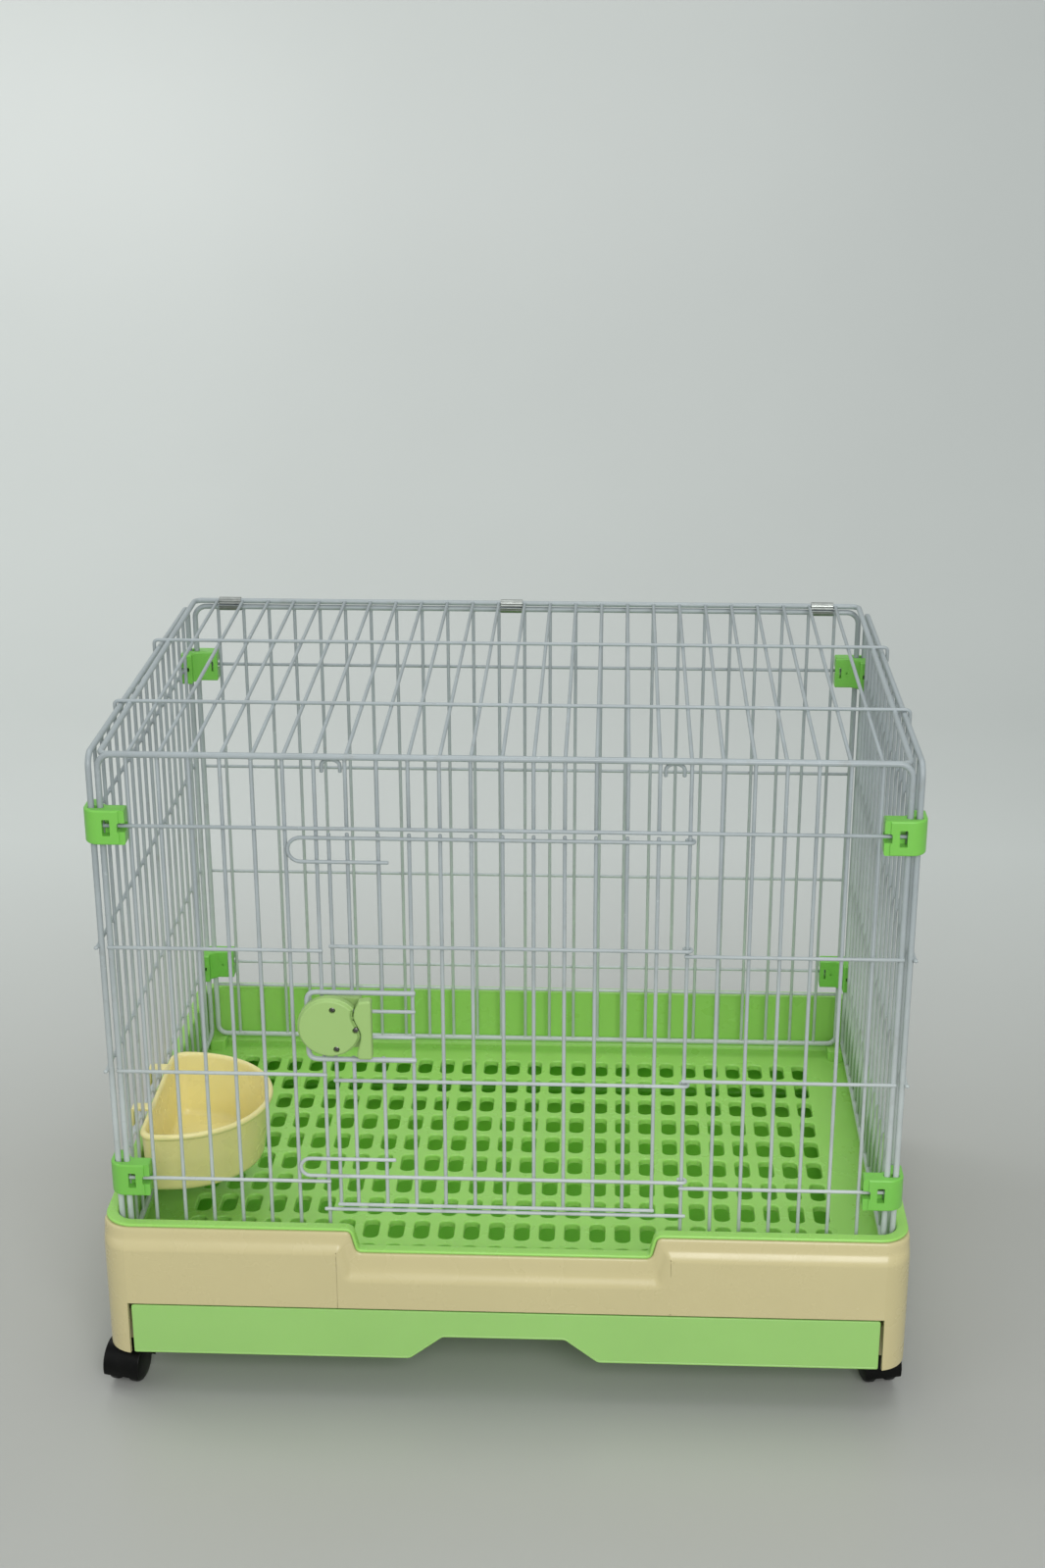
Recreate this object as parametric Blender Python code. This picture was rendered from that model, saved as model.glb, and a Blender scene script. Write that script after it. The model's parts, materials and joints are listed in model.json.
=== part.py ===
"""Wire rabbit cage on a moulded base with a pull-out drawer and casters.

The cage stands on +Z, faces -Y and has its origin on the ground under the middle of its base.
All lengths are in metres.
"""
import bpy
import bmesh
from math import asin, atan2, cos, pi, radians, sin, sqrt
from mathutils import Matrix, Vector

# ---------------------------------------------------------------- driving dimensions
BASE_HALF_X = 0.303
BASE_HALF_Y = 0.213
CAGE_HALF_X = 0.283          # side frame wires of the front and back panels
CAGE_HALF_Y = 0.1865         # wire plane of the front and back panels
TOP_Z = 0.512                # top frame wire of the front and back panels
PANEL_FOOT_Z = 0.104         # bottom frame wire of every upright panel
RIM_Z = 0.146                # top of the floor tray's rim
BASE_TOP = 0.1432            # the base's top, just under that rim
FLOOR_Z = 0.0917             # top of the floor tray's floor
LEG_Z = 0.036                # underside of the base's legs

# ---------------------------------------------------------------- wires
THIN = 0.00125               # half side of a thin wire's bar
THICK = 0.0020               # half side of a frame wire's bar
LOOP = 0.0017                # half side of the latch loop's bar
LAYER = 0.0028               # a cross wire lies this far outside the upright wires
PITCH = 0.0219
INNER_WIRES = 25             # front, back and lid
SIDE_SPACES = 17
CORNER_R = 0.010
GAP = 0.0003
DOOR_WIRES = 11
DOOR_X = PITCH * (DOOR_WIRES + 1) / 2          # the two uprights that frame the doorway
CLIP_ROWS = (0.4596, 0.1758)
STUB_ROWS = (0.3652, 0.2652)
SILL_Z = 0.1522
SIDE_X = 0.2895
SIDE_TOP_Z = 0.5115
SIDE_PITCH = 2 * CAGE_HALF_Y / SIDE_SPACES

# ---------------------------------------------------------------- door and latch
DOOR_ROWS = (0.4525, 0.369, 0.261, 0.1805, 0.1563)
DOOR_LEFT_X = -0.1225
DOOR_LOW_Z = 0.1551
DOOR_HIGH_Z = 0.4547
EYE_R = 0.0034
HOOK_X = 0.1515
HOOK_TAIL_X = -0.081
LOOP_X = -0.142
LOOP_ROWS = (0.3327, 0.2787)
LOOP_Y = -CAGE_HALF_Y - 0.0034
MID_ROWS = (0.3177, 0.297)
LATCH_C = (-0.1254, 0.3082)  # centre of the round cover, X and Z
LATCH_R = 0.0234
LATCH_FRONT_Y = -0.200
LATCH_BACK_Y = -0.192
LATCH_INSIDE_Y = -0.1876     # front of the back cover, behind the door's wires
SLIDER_X = -0.0946
SLIDER_Z = (0.2834, 0.3306)
ARM_Z = 0.3155
TONGUE_Z = 0.3095
SCREWS = ((-0.1226, 0.3231), (-0.1204, 0.2917), (-0.1062, 0.3070))

# ---------------------------------------------------------------- corner clips
CLIP_OUTER = (0.2955, 0.1945)                  # outer faces, X and Y
CLIP_ENDS = (0.2652, 0.1705)                   # where the two legs end, X and Y
CLIP_INNER = (0.2852, 0.1815)                  # inner faces of the two legs, X and Y
CLIP_CHAMFER = (0.0062, 0.0050)                # inner corner, cut off across the posts
CLIP_R = 0.011
CLIP_TALL = 0.013                              # half height
CLIP_WINDOW = (0.2752, 0.2814, 0.0069)         # ends along X and half height

# ---------------------------------------------------------------- lid
LID_AXIS_Z = TOP_Z + 0.0052
LID_LENGTH = 0.3686
LID_DROP = 0.0066
LID_HALF_X = 0.2824
LID_CROSS = (0.1190, 0.2655)                   # distance of the cross wires from the hinge
LID_HOOK_X = 0.2935
LID_HOOK_DROP = 0.0085
LID_CATCH_X = 0.120
LID_CLIP_X = (-11.5 * PITCH, -0.5 * PITCH, 11.5 * PITCH)

# ---------------------------------------------------------------- base, trays and bowl
WALL = 0.003
SHELL = 0.0025
NOTCH_X = 0.112
NOTCH_Z = 0.128
TRAY_IN = (0.2923, 0.1980, 0.0135)             # half length, half depth, corner radius
TRAY_OUT = (0.2948, 0.2005, 0.0160)
TRAY_RIM = (0.3010, 0.2076, 0.0210)
SLOT_COLUMNS = 26
SLOT_ROWS = 10
SLOT_PITCH = (0.01983, 0.03395)
SLOT_SIZE = (0.0120, 0.0262)
DRAWER_TOP = 0.079
DRAWER_HALF_X = 0.2817
DRAWER_OPEN_X = 0.2843
RAIL_Z = 0.0732
BOWL_Y = -0.0645
BOWL_BACK_X = -0.2868
BOWL_HALF = 0.0710
BOWL_DEPTH = 0.0945
BOWL_RIM_Z = 0.1798
BOWL_FOOT_Z = 0.1245
BOWL_TAB = 0.005                               # half width of the tabs that hang it up
BOWL_TAB_T = 0.0022
BOWL_TAB_ROWS = (-SIDE_PITCH, -4 * SIDE_PITCH)   # in the middle between two upright wires
BOWL_HOOK_X = (-0.3010, -0.2984)

# ---------------------------------------------------------------- casters
STEM = (0.289, 0.181)
TRAIL = 0.011
TRAIL_ANGLE = radians(12)
WHEEL_R = 0.016
WHEEL_W = 0.0095
WEB_W = 0.008
AXLE_R = 0.002

COLOURS = {
    "wire": ((0.60, 0.66, 0.67, 1), 0.35, 0.0),
    "green": ((0.22, 0.62, 0.08, 1), 0.35, 0.0),
    "pale_green": ((0.36, 0.50, 0.20, 1), 0.45, 0.0),
    "cream": ((0.80, 0.70, 0.45, 1), 0.30, 0.0),
    "bowl": ((0.78, 0.66, 0.34, 1), 0.30, 0.0),
    "black": ((0.02, 0.02, 0.02, 1), 0.40, 0.0),
    "steel": ((0.60, 0.60, 0.60, 1), 0.30, 1.0),
}


# ---------------------------------------------------------------- scene helpers
def clear_scene():
    for thing in list(bpy.data.objects):
        bpy.data.objects.remove(thing, do_unlink=True)


def collection(name):
    made = bpy.data.collections.new(name)
    bpy.context.scene.collection.children.link(made)
    return made


def make_materials():
    made = {}
    for name, (colour, roughness, metallic) in COLOURS.items():
        material = bpy.data.materials.new(name)
        material.use_nodes = True
        shader = material.node_tree.nodes["Principled BSDF"]
        shader.inputs["Base Color"].default_value = colour
        shader.inputs["Roughness"].default_value = roughness
        shader.inputs["Metallic"].default_value = metallic
        made[name] = material
    return made


def add_object(name, bm, colour=None):
    """Turn a bmesh into an object: a part when it has a colour, otherwise a tool body."""
    bmesh.ops.recalc_face_normals(bm, faces=bm.faces)
    mesh = bpy.data.meshes.new(name)
    bm.to_mesh(mesh)
    bm.free()
    thing = bpy.data.objects.new(name, mesh)
    if colour is None:
        CUTTERS.objects.link(thing)
        thing.hide_render = True
        thing.display_type = "WIRE"
    else:
        PARTS.objects.link(thing)
        mesh.materials.append(MATERIALS[colour])
    return thing


def boolean(thing, tool, operation):
    modifier = thing.modifiers.new(tool.name, "BOOLEAN")
    modifier.operation = operation
    modifier.object = tool
    modifier.solver = "EXACT"


def join(thing, tool):
    boolean(thing, tool, "UNION")


def cut(thing, tool):
    boolean(thing, tool, "DIFFERENCE")


def smooth(thing):
    thing.data.shade_smooth()
    thing.data.set_sharp_from_angle(angle=radians(35))


# ---------------------------------------------------------------- shape helpers
def add_box(bm, low, high):
    size = [b - a for a, b in zip(low, high)]
    middle = [(a + b) / 2 for a, b in zip(low, high)]
    place = Matrix.Translation(middle) @ Matrix.Diagonal((*size, 1))
    bmesh.ops.create_cube(bm, size=1, matrix=place)


def boxes(name, corners, colour=None):
    bm = bmesh.new()
    for low, high in corners:
        add_box(bm, low, high)
    return add_object(name, bm, colour)


def cylinder(name, radius, low, high, matrix, colour=None, sides=16):
    """A cylinder about the local Z axis of the given matrix, from low to high."""
    bm = bmesh.new()
    place = matrix @ Matrix.Translation((0, 0, (low + high) / 2))
    bmesh.ops.create_cone(bm, cap_ends=True, segments=sides, radius1=radius, radius2=radius,
                          depth=high - low, matrix=place)
    return add_object(name, bm, colour)


def rounded_outline(half_x, half_y, radius, steps=4):
    """Corner points of a rounded rectangle about the origin, anticlockwise."""
    points = []
    for quarter, (sx, sy) in enumerate(((1, 1), (-1, 1), (-1, -1), (1, -1))):
        for step in range(steps + 1):
            angle = (quarter + step / steps) * pi / 2
            points.append((sx * (half_x - radius) + radius * cos(angle),
                           sy * (half_y - radius) + radius * sin(angle)))
    return points


def loft(name, rings, colour=None):
    """Skin a stack of rings that have the same number of points, and cap both ends."""
    bm = bmesh.new()
    loops = [[bm.verts.new(point) for point in ring] for ring in rings]
    count = len(rings[0])
    for below, above in zip(loops, loops[1:]):
        for i in range(count):
            j = (i + 1) % count
            bm.faces.new((below[i], below[j], above[j], above[i]))
    bm.faces.new(reversed(loops[0]))
    bm.faces.new(loops[-1])
    return add_object(name, bm, colour)


def level(outline, z):
    return [(x, y, z) for x, y in outline]


def prism(name, outline, low, high, to_world, colour=None):
    """Extrude a flat outline of (a, b) pairs from low to high, placed by to_world(a, b, c)."""
    rings = [[to_world(a, b, c) for a, b in outline] for c in (low, high)]
    return loft(name, rings, colour)


def arc(centre, radius, start, end, steps):
    span = [start + (end - start) * i / steps for i in range(steps + 1)]
    return [(centre[0] + radius * cos(a), centre[1] + radius * sin(a)) for a in span]


def wires(name, routes, half, colour=None, closed=False):
    """Square bars along routes: a POLY curve with a four-sided bevel, made into a mesh."""
    curve = bpy.data.curves.new(name, "CURVE")
    curve.dimensions = "3D"
    curve.bevel_depth = half * sqrt(2)
    curve.bevel_resolution = 0
    curve.use_fill_caps = True
    for route in routes:
        spline = curve.splines.new("POLY")
        spline.points.add(len(route) - 1)
        for point, place in zip(spline.points, route):
            point.co = (*place, 1)
            point.tilt = radians(45)
        spline.use_cyclic_u = closed
    source = bpy.data.objects.new(name, curve)
    CUTTERS.objects.link(source)
    depsgraph = bpy.context.evaluated_depsgraph_get()
    mesh = bpy.data.meshes.new_from_object(source.evaluated_get(depsgraph))
    bm = bmesh.new()
    bm.from_mesh(mesh)
    bmesh.ops.remove_doubles(bm, verts=bm.verts, dist=0.00001)
    bpy.data.objects.remove(source)
    bpy.data.meshes.remove(mesh)
    return add_object(name, bm, colour)


# ---------------------------------------------------------------- panels
def front_map(u, v, w=0.0):
    return (u, -CAGE_HALF_Y - w, v)


def back_map(u, v, w=0.0):
    return (u, CAGE_HALF_Y + w, v)


def side_map(side):
    return lambda u, v, w=0.0: (side * (SIDE_X + w), u, v)


def wire_x(i):
    """X of inner wire i, counted from 1 at the left."""
    return (i - (INNER_WIRES + 1) / 2) * PITCH


def frame_loop(place, half_u, low, high, radius=CORNER_R):
    middle = (low + high) / 2
    outline = rounded_outline(half_u, (high - low) / 2, radius, steps=3)
    return [place(u, middle + v) for u, v in outline]


def welds(place, spots):
    """Short bars that tie cross wires to the upright wires behind them."""
    return [[place(u, v, 0.0), place(u, v, LAYER)] for u, v in spots]


def panel(name, place, half_u, low, high, uprights, crosses, spots):
    """A welded grille: frame, uprights in its plane, cross wires outside them, and welds."""
    grille = wires(name, [frame_loop(place, half_u, low, high)], THICK, "wire", closed=True)
    bars = [[place(u, a), place(u, b)] for u, a, b in uprights]
    join(grille, wires(name + "_uprights", bars, THIN))
    rows = [[place(*point) for point in row] for row in crosses]
    join(grille, wires(name + "_crosses", rows, THIN))
    if spots:
        join(grille, wires(name + "_welds", welds(place, spots), THIN * 0.8))
    return grille


def make_front_panel():
    door_first = (INNER_WIRES + 1) // 2 - DOOR_WIRES // 2
    uprights = []
    for i in range(1, INNER_WIRES + 1):
        over_door = door_first <= i < door_first + DOOR_WIRES
        foot = CLIP_ROWS[0] - THIN if over_door else PANEL_FOOT_Z
        uprights.append((wire_x(i), foot, TOP_Z))
    crosses = [[(-CAGE_HALF_X, CLIP_ROWS[0], LAYER), (CAGE_HALF_X, CLIP_ROWS[0], LAYER)]]
    spots = []
    for z in (*STUB_ROWS, CLIP_ROWS[1]):
        for side in (-1, 1):
            inner = side * (DOOR_X - THIN)
            crosses.append([(side * CAGE_HALF_X, z, LAYER), (inner, z, LAYER)])
            spots.append((side * DOOR_X, z))
    sill_end = DOOR_X + 2 * THIN
    crosses.append([(-sill_end, SILL_Z, LAYER), (sill_end, SILL_Z, LAYER)])
    spots += [(-DOOR_X, SILL_Z), (DOOR_X, SILL_Z)]
    panel("front_panel", front_map, CAGE_HALF_X, PANEL_FOOT_Z, TOP_Z, uprights, crosses, spots)


def make_back_panel():
    uprights = [(wire_x(i), PANEL_FOOT_Z, TOP_Z) for i in range(1, INNER_WIRES + 1)]
    rows = (*CLIP_ROWS, *STUB_ROWS, SILL_Z)
    crosses = [[(-CAGE_HALF_X, z, LAYER), (CAGE_HALF_X, z, LAYER)] for z in rows]
    spots = [(wire_x(i), z) for i in (7, 19) for z in rows]
    panel("back_panel", back_map, CAGE_HALF_X, PANEL_FOOT_Z, TOP_Z, uprights, crosses, spots)


def make_side_panel(name, side):
    place = side_map(side)
    uprights = []
    for i in range(1, SIDE_SPACES):
        uprights.append((i * SIDE_PITCH - CAGE_HALF_Y, PANEL_FOOT_Z, SIDE_TOP_Z))
    crosses = []
    for z in CLIP_ROWS:
        crosses.append([(-CAGE_HALF_Y, z, LAYER), (CAGE_HALF_Y, z, LAYER)])
    ear = CAGE_HALF_Y + 0.004
    for z in STUB_ROWS:
        crosses.append([(-ear, z, LAYER + 0.005), (-ear, z, LAYER + 0.0005),
                        (ear, z, LAYER + 0.0005), (ear, z, LAYER + 0.005)])
    spots = [(uprights[i][0], z) for i in (4, 11) for z in (*CLIP_ROWS, *STUB_ROWS)]
    panel(name, place, CAGE_HALF_Y, PANEL_FOOT_Z, SIDE_TOP_Z, uprights, crosses, spots)


def make_lid():
    """Built flat from its rear wire, which is the hinge axis, then tipped down to the front."""
    tip = asin(LID_DROP / LID_LENGTH)
    tilt = Matrix.Translation((0, CAGE_HALF_Y, LID_AXIS_Z)) @ Matrix.Rotation(tip, 4, "X")

    def place(u, v, w=0.0):
        return tuple(tilt @ Vector((u, -v, w)))

    outline = rounded_outline(LID_HALF_X, LID_LENGTH / 2, 0.006, steps=2)
    loop = [place(u, LID_LENGTH / 2 + v) for u, v in outline]
    lid = wires("lid", [loop], THICK, "wire", closed=True)
    bars = [[place(wire_x(i), 0), place(wire_x(i), LID_LENGTH)] for i in range(1, INNER_WIRES + 1)]
    join(lid, wires("lid_bars", bars, THIN))
    bend = 0.0022
    rows = []
    for v in LID_CROSS:
        ends = [(LID_HOOK_X, v, -LID_HOOK_DROP), (LID_HOOK_X, v, LAYER - bend),
                (LID_HOOK_X - bend, v, LAYER)]
        rows.append([place(-u, a, b) for u, a, b in ends] + [place(*e) for e in reversed(ends)])
    join(lid, wires("lid_crosses", rows, THIN))
    catches = []
    for side in (-1, 1):
        outline = arc((0, 0), 1.0, pi, 0, 6)
        crown = [(side * LID_CATCH_X + 0.0065 * a, LID_LENGTH, 0.0045 * b - 0.0065) for a, b in outline]
        legs = [(u, v, w - 0.006) for u, v, w in (crown[0], crown[-1])]
        catches.append([place(*p) for p in (legs[0], *crown, legs[1])])
    join(lid, wires("lid_catches", catches, THIN))
    tied = [[place(wire_x(i), v), place(wire_x(i), v, LAYER)] for i in (7, 19) for v in LID_CROSS]
    join(lid, wires("lid_welds", tied, THIN * 0.8))


# ---------------------------------------------------------------- door
def door_upright_spans(x):
    """The uprights inside the latch loop stop at its top and bottom wires."""
    if x < -DOOR_X + 2.5 * PITCH:
        return [(DOOR_LOW_Z, LOOP_ROWS[1]), (LOOP_ROWS[0], DOOR_HIGH_Z)]
    return [(DOOR_LOW_Z, DOOR_HIGH_Z)]


def eye(z, start_x):
    """A row that runs from start_x to the hinge upright and curls round it."""
    curl = arc((DOOR_X, -CAGE_HALF_Y), EYE_R, -pi / 2, pi * 0.75, 7)
    return [(start_x, -CAGE_HALF_Y - EYE_R, z)] + [(x, y, z) for x, y in curl]


def stop_hook(z, tail_z):
    """A row that runs left past the doorway, turns back and ends in a tail."""
    radius = (tail_z - z) / 2
    y = -CAGE_HALF_Y - LAYER
    turn = []
    for step in range(7):
        angle = -pi / 2 - step * pi / 6
        turn.append((-HOOK_X + abs(radius) * (1 + cos(angle)), y, z + radius + radius * sin(angle)))
    return turn + [(HOOK_TAIL_X, y, tail_z)]


def make_door():
    y_row = -CAGE_HALF_Y - LAYER
    columns = [DOOR_LEFT_X] + [(k - DOOR_WIRES // 2) * PITCH for k in range(DOOR_WIRES)]
    bars = []
    for x in columns:
        for low, high in door_upright_spans(x):
            bars.append([(x, -CAGE_HALF_Y, low), (x, -CAGE_HALF_Y, high)])
    top, upper, lower, bottom_hook, foot = DOOR_ROWS
    top_route = stop_hook(top, top - 0.0182)[::-1] + eye(top, 0.11)[1:]
    low_route = stop_hook(bottom_hook, bottom_hook + 0.0145)[::-1] + eye(bottom_hook, 0.11)[1:]
    routes = [top_route, low_route, eye(upper, DOOR_LEFT_X - THIN), eye(lower, DOOR_LEFT_X - THIN)]
    routes.append([(DOOR_LEFT_X - THIN, y_row, foot), (columns[-1] + THIN, y_row, foot)])
    door = wires("door", routes[:1], THIN, "wire")
    spots = [(x, top) for x in columns] + [(x, foot) for x in columns]
    tied = (columns[0], columns[6], columns[-1])
    ties = [(x, row) for row in (upper, lower, bottom_hook) for x in tied]
    uprights = wires("door_uprights", bars, THIN)
    join(door, wires("door_welds", welds(front_map, spots + ties), THIN * 0.8))
    join(door, uprights)
    join(door, wires("door_rows", routes[1:], THIN))
    right = columns[3]
    loop_y = LOOP_Y
    left_top = [(LOOP_X + 0.006 + 0.006 * cos(a), loop_y, LOOP_ROWS[0] - 0.006 + 0.006 * sin(a))
                for a in (pi / 2, 3 * pi / 4, pi)]
    left_low = [(x, y, LOOP_ROWS[0] + LOOP_ROWS[1] - z) for x, y, z in reversed(left_top)]
    loop = [(right, loop_y, LOOP_ROWS[0])] + left_top + left_low + [(right, loop_y, LOOP_ROWS[1])]
    join(door, wires("door_loop", [loop], LOOP))
    mids = [[(LATCH_C[0] + 0.009, y_row, z), (right, y_row, z)] for z in MID_ROWS]
    join(door, wires("door_mids", mids, THIN))
    spots = [(x, z) for z in LOOP_ROWS for x in columns[:4]] + [(right, z) for z in MID_ROWS]
    loop_welds = [[(x, -CAGE_HALF_Y, z), (x, LOOP_Y, z)] for x, z in spots]
    join(door, wires("door_loop_welds", loop_welds, THIN * 0.85))


# ---------------------------------------------------------------- latch
def latch_map(a, b, c):
    return (a, c, b)


def latch_edge(shift=0.0):
    """The wavy line between the round cover and the slider, from top to bottom."""
    points = []
    for step in range(11):
        t = step / 10
        swing = 0.0027 * cos(2 * pi * (t - 0.2) / 0.84) * (1 - 2 * max(0, t - 0.62))
        points.append((-0.1050 - swing + shift, LATCH_C[1] + LATCH_R * (0.78 - 1.62 * t)))
    return points


def screw_axis(x, z):
    """A frame whose Z axis points forwards (-Y) from the screw's position."""
    return Matrix.Translation((x, 0, z)) @ Matrix.Rotation(radians(90), 4, "X")


def make_latch():
    arc_ends = (asin(0.78), 2 * pi - asin(0.84))
    outline = arc(LATCH_C, LATCH_R, *arc_ends, 18) + latch_edge()[::-1]
    cover = prism("latch_front_cover", outline, LATCH_FRONT_Y, LATCH_BACK_Y, latch_map, "pale_green")
    pocket_left = LATCH_C[0] - 0.0185
    collar = LATCH_C[0] + 0.0140
    deep = LATCH_BACK_Y + 0.001
    pockets = [
        ((pocket_left, LATCH_FRONT_Y + 0.0012, ARM_Z - 0.0042), (collar, deep, ARM_Z + 0.0042)),
        ((collar - 0.001, LATCH_FRONT_Y + 0.0026, ARM_Z - 0.0020), (SLIDER_X, deep, ARM_Z + 0.0020)),
    ]
    for i, (low, high) in enumerate(pockets):
        cut(cover, boxes(f"latch_pocket_{i}", [(low, high)]))

    thumb = [(-0.1030, SLIDER_Z[1])] + latch_edge(0.0008) + [(-0.1040, SLIDER_Z[0])]
    thumb += [(SLIDER_X, SLIDER_Z[0]), (SLIDER_X, SLIDER_Z[1])]
    slider = prism("latch_slider", thumb, LATCH_FRONT_Y, LATCH_BACK_Y, latch_map, "pale_green")
    tail = pocket_left + 0.0005
    arm = ((tail + 0.001, LATCH_FRONT_Y + 0.0037, ARM_Z - 0.0011),
           (SLIDER_X - 0.004, LATCH_BACK_Y - 0.0021, ARM_Z + 0.0011))
    stop = ((tail, LATCH_FRONT_Y + 0.0017, ARM_Z - 0.0037),
            (tail + 0.0018, LATCH_BACK_Y, ARM_Z + 0.0037))
    neck = ((-0.1020, LATCH_BACK_Y - 0.002, TONGUE_Z - 0.003), (-0.0960, -0.1823, TONGUE_Z + 0.003))
    tongue = ((-0.1296, -0.1848, TONGUE_Z - 0.0028), (-0.0965, -0.1825, TONGUE_Z + 0.0028))
    for label, block in (("arm", arm), ("stop", stop), ("neck", neck), ("tongue", tongue)):
        join(slider, boxes(f"slider_{label}", [block]))

    plate = ((-0.1283, LATCH_INSIDE_Y, 0.2875), (-0.1032, -0.1795, 0.3273))
    back = boxes("latch_back_cover", [plate], "pale_green")
    tunnel = ((-0.14, -0.1852, TONGUE_Z - 0.0032), (-0.09, -0.1820, TONGUE_Z + 0.0032))
    cut(back, boxes("tongue_tunnel", [tunnel]))
    for i, (x, z) in enumerate(SCREWS):
        boss_end = -LATCH_BACK_Y - GAP
        join(back, cylinder(f"latch_boss_{i}", 0.0024, 0.187, boss_end, screw_axis(x, z), sides=12))
    for i, (x, z) in enumerate(SCREWS):
        turned = screw_axis(x, z)
        cut(back, cylinder(f"latch_pilot_{i}", 0.0014, 0.1858, 0.195, turned, sides=10))
        cut(cover, cylinder(f"latch_hole_{i}", 0.0014, 0.190, 0.206, turned, sides=10))
        cut(cover, cylinder(f"latch_sink_{i}", 0.0023, 0.1974, 0.206, turned, sides=12))
        screw = cylinder(f"latch_screw_{i + 1}", 0.0020, 0.1977, 0.1993, turned, "steel", sides=12)
        join(screw, cylinder(f"screw_shank_{i}", 0.0011, 0.1862, 0.1980, turned, sides=10))
    make_latch_spring(tail + 0.0018, collar)


def make_latch_spring(left, right):
    """A compression spring round the slider's arm, between its end stop and the cover's collar."""
    turns = 7
    radius = 0.0030
    middle_y = (LATCH_FRONT_Y + LATCH_BACK_Y) / 2 + 0.0008
    route = []
    for step in range(turns * 8 + 1):
        angle = step * pi / 4
        x = left + 0.0007 + (right - left - 0.0014) * step / (turns * 8)
        route.append((x, middle_y + 0.85 * radius * cos(angle), ARM_Z + radius * sin(angle)))
    wires("latch_spring", [route], 0.0003, "steel")


# ---------------------------------------------------------------- clips
def make_corner_clip(name, sx, sy, z):
    """A moulded angle that snaps over the two corner wires and the cross wires at one height."""
    outer_x, outer_y = CLIP_OUTER
    end_x, end_y = CLIP_ENDS
    inner_x, inner_y = CLIP_INNER
    centre = (outer_x - CLIP_R, outer_y - CLIP_R)
    outline = [(inner_x, end_y), (outer_x, end_y)] + arc(centre, CLIP_R, 0, pi / 2, 4)
    outline += [(end_x, outer_y), (end_x, inner_y)]
    outline += [(inner_x - CLIP_CHAMFER[0], inner_y), (inner_x, inner_y - CLIP_CHAMFER[1])]

    def place(a, b, c):
        return (sx * a, sy * b, z + c)

    clip = prism(name, outline, -CLIP_TALL, CLIP_TALL, place, "green")

    def channel(label, low, high):
        first, second = place(*low), place(*high)
        low_corner = [min(a, b) for a, b in zip(first, second)]
        high_corner = [max(a, b) for a, b in zip(first, second)]
        cut(clip, boxes(f"{name}_{label}", [(low_corner, high_corner)]))

    slot = THIN + GAP
    post = THICK + GAP
    row_y = CAGE_HALF_Y + LAYER + slot
    row_x = SIDE_X + LAYER + slot
    post_x, post_y = CAGE_HALF_X - post, CAGE_HALF_Y - post
    channel("posts", (post_x, post_y, -0.02), (SIDE_X + post, CAGE_HALF_Y + post, 0.02))
    channel("front_row", (0.25, post_y, -slot), (CAGE_HALF_X + GAP, row_y, slot))
    channel("side_row", (SIDE_X - post, 0.16, -slot), (row_x, CAGE_HALF_Y + GAP, slot))
    channel("window", (CLIP_WINDOW[0], 0.185, -CLIP_WINDOW[2]), (CLIP_WINDOW[1], 0.200, CLIP_WINDOW[2]))


def make_lid_clip(name, x):
    """A folded band, slit along its front, round the back panel's top wire and the lid's rear wire."""
    half = 0.0093
    inside, outside = 0.0031, 0.0037
    slit = 0.0006
    low, high = (CAGE_HALF_Y, TOP_Z), (CAGE_HALF_Y, LID_AXIS_Z)

    def track(radius):
        return arc(high, radius, 0, pi, 6) + arc(low, radius, pi, 2 * pi, 6)

    def place(a, b, c):
        return (x + c, a, b)

    band = prism(name, track(outside), -half, half, place, "steel")
    cut(band, prism(name + "_hole", track(inside), -2 * half, 2 * half, place))
    middle = (TOP_Z + LID_AXIS_Z) / 2
    front = CAGE_HALF_Y - 2 * outside
    opening = ((x - 2 * half, front, middle - slit), (x + 2 * half, CAGE_HALF_Y, middle + slit))
    cut(band, boxes(name + "_slit", [opening]))


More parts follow.
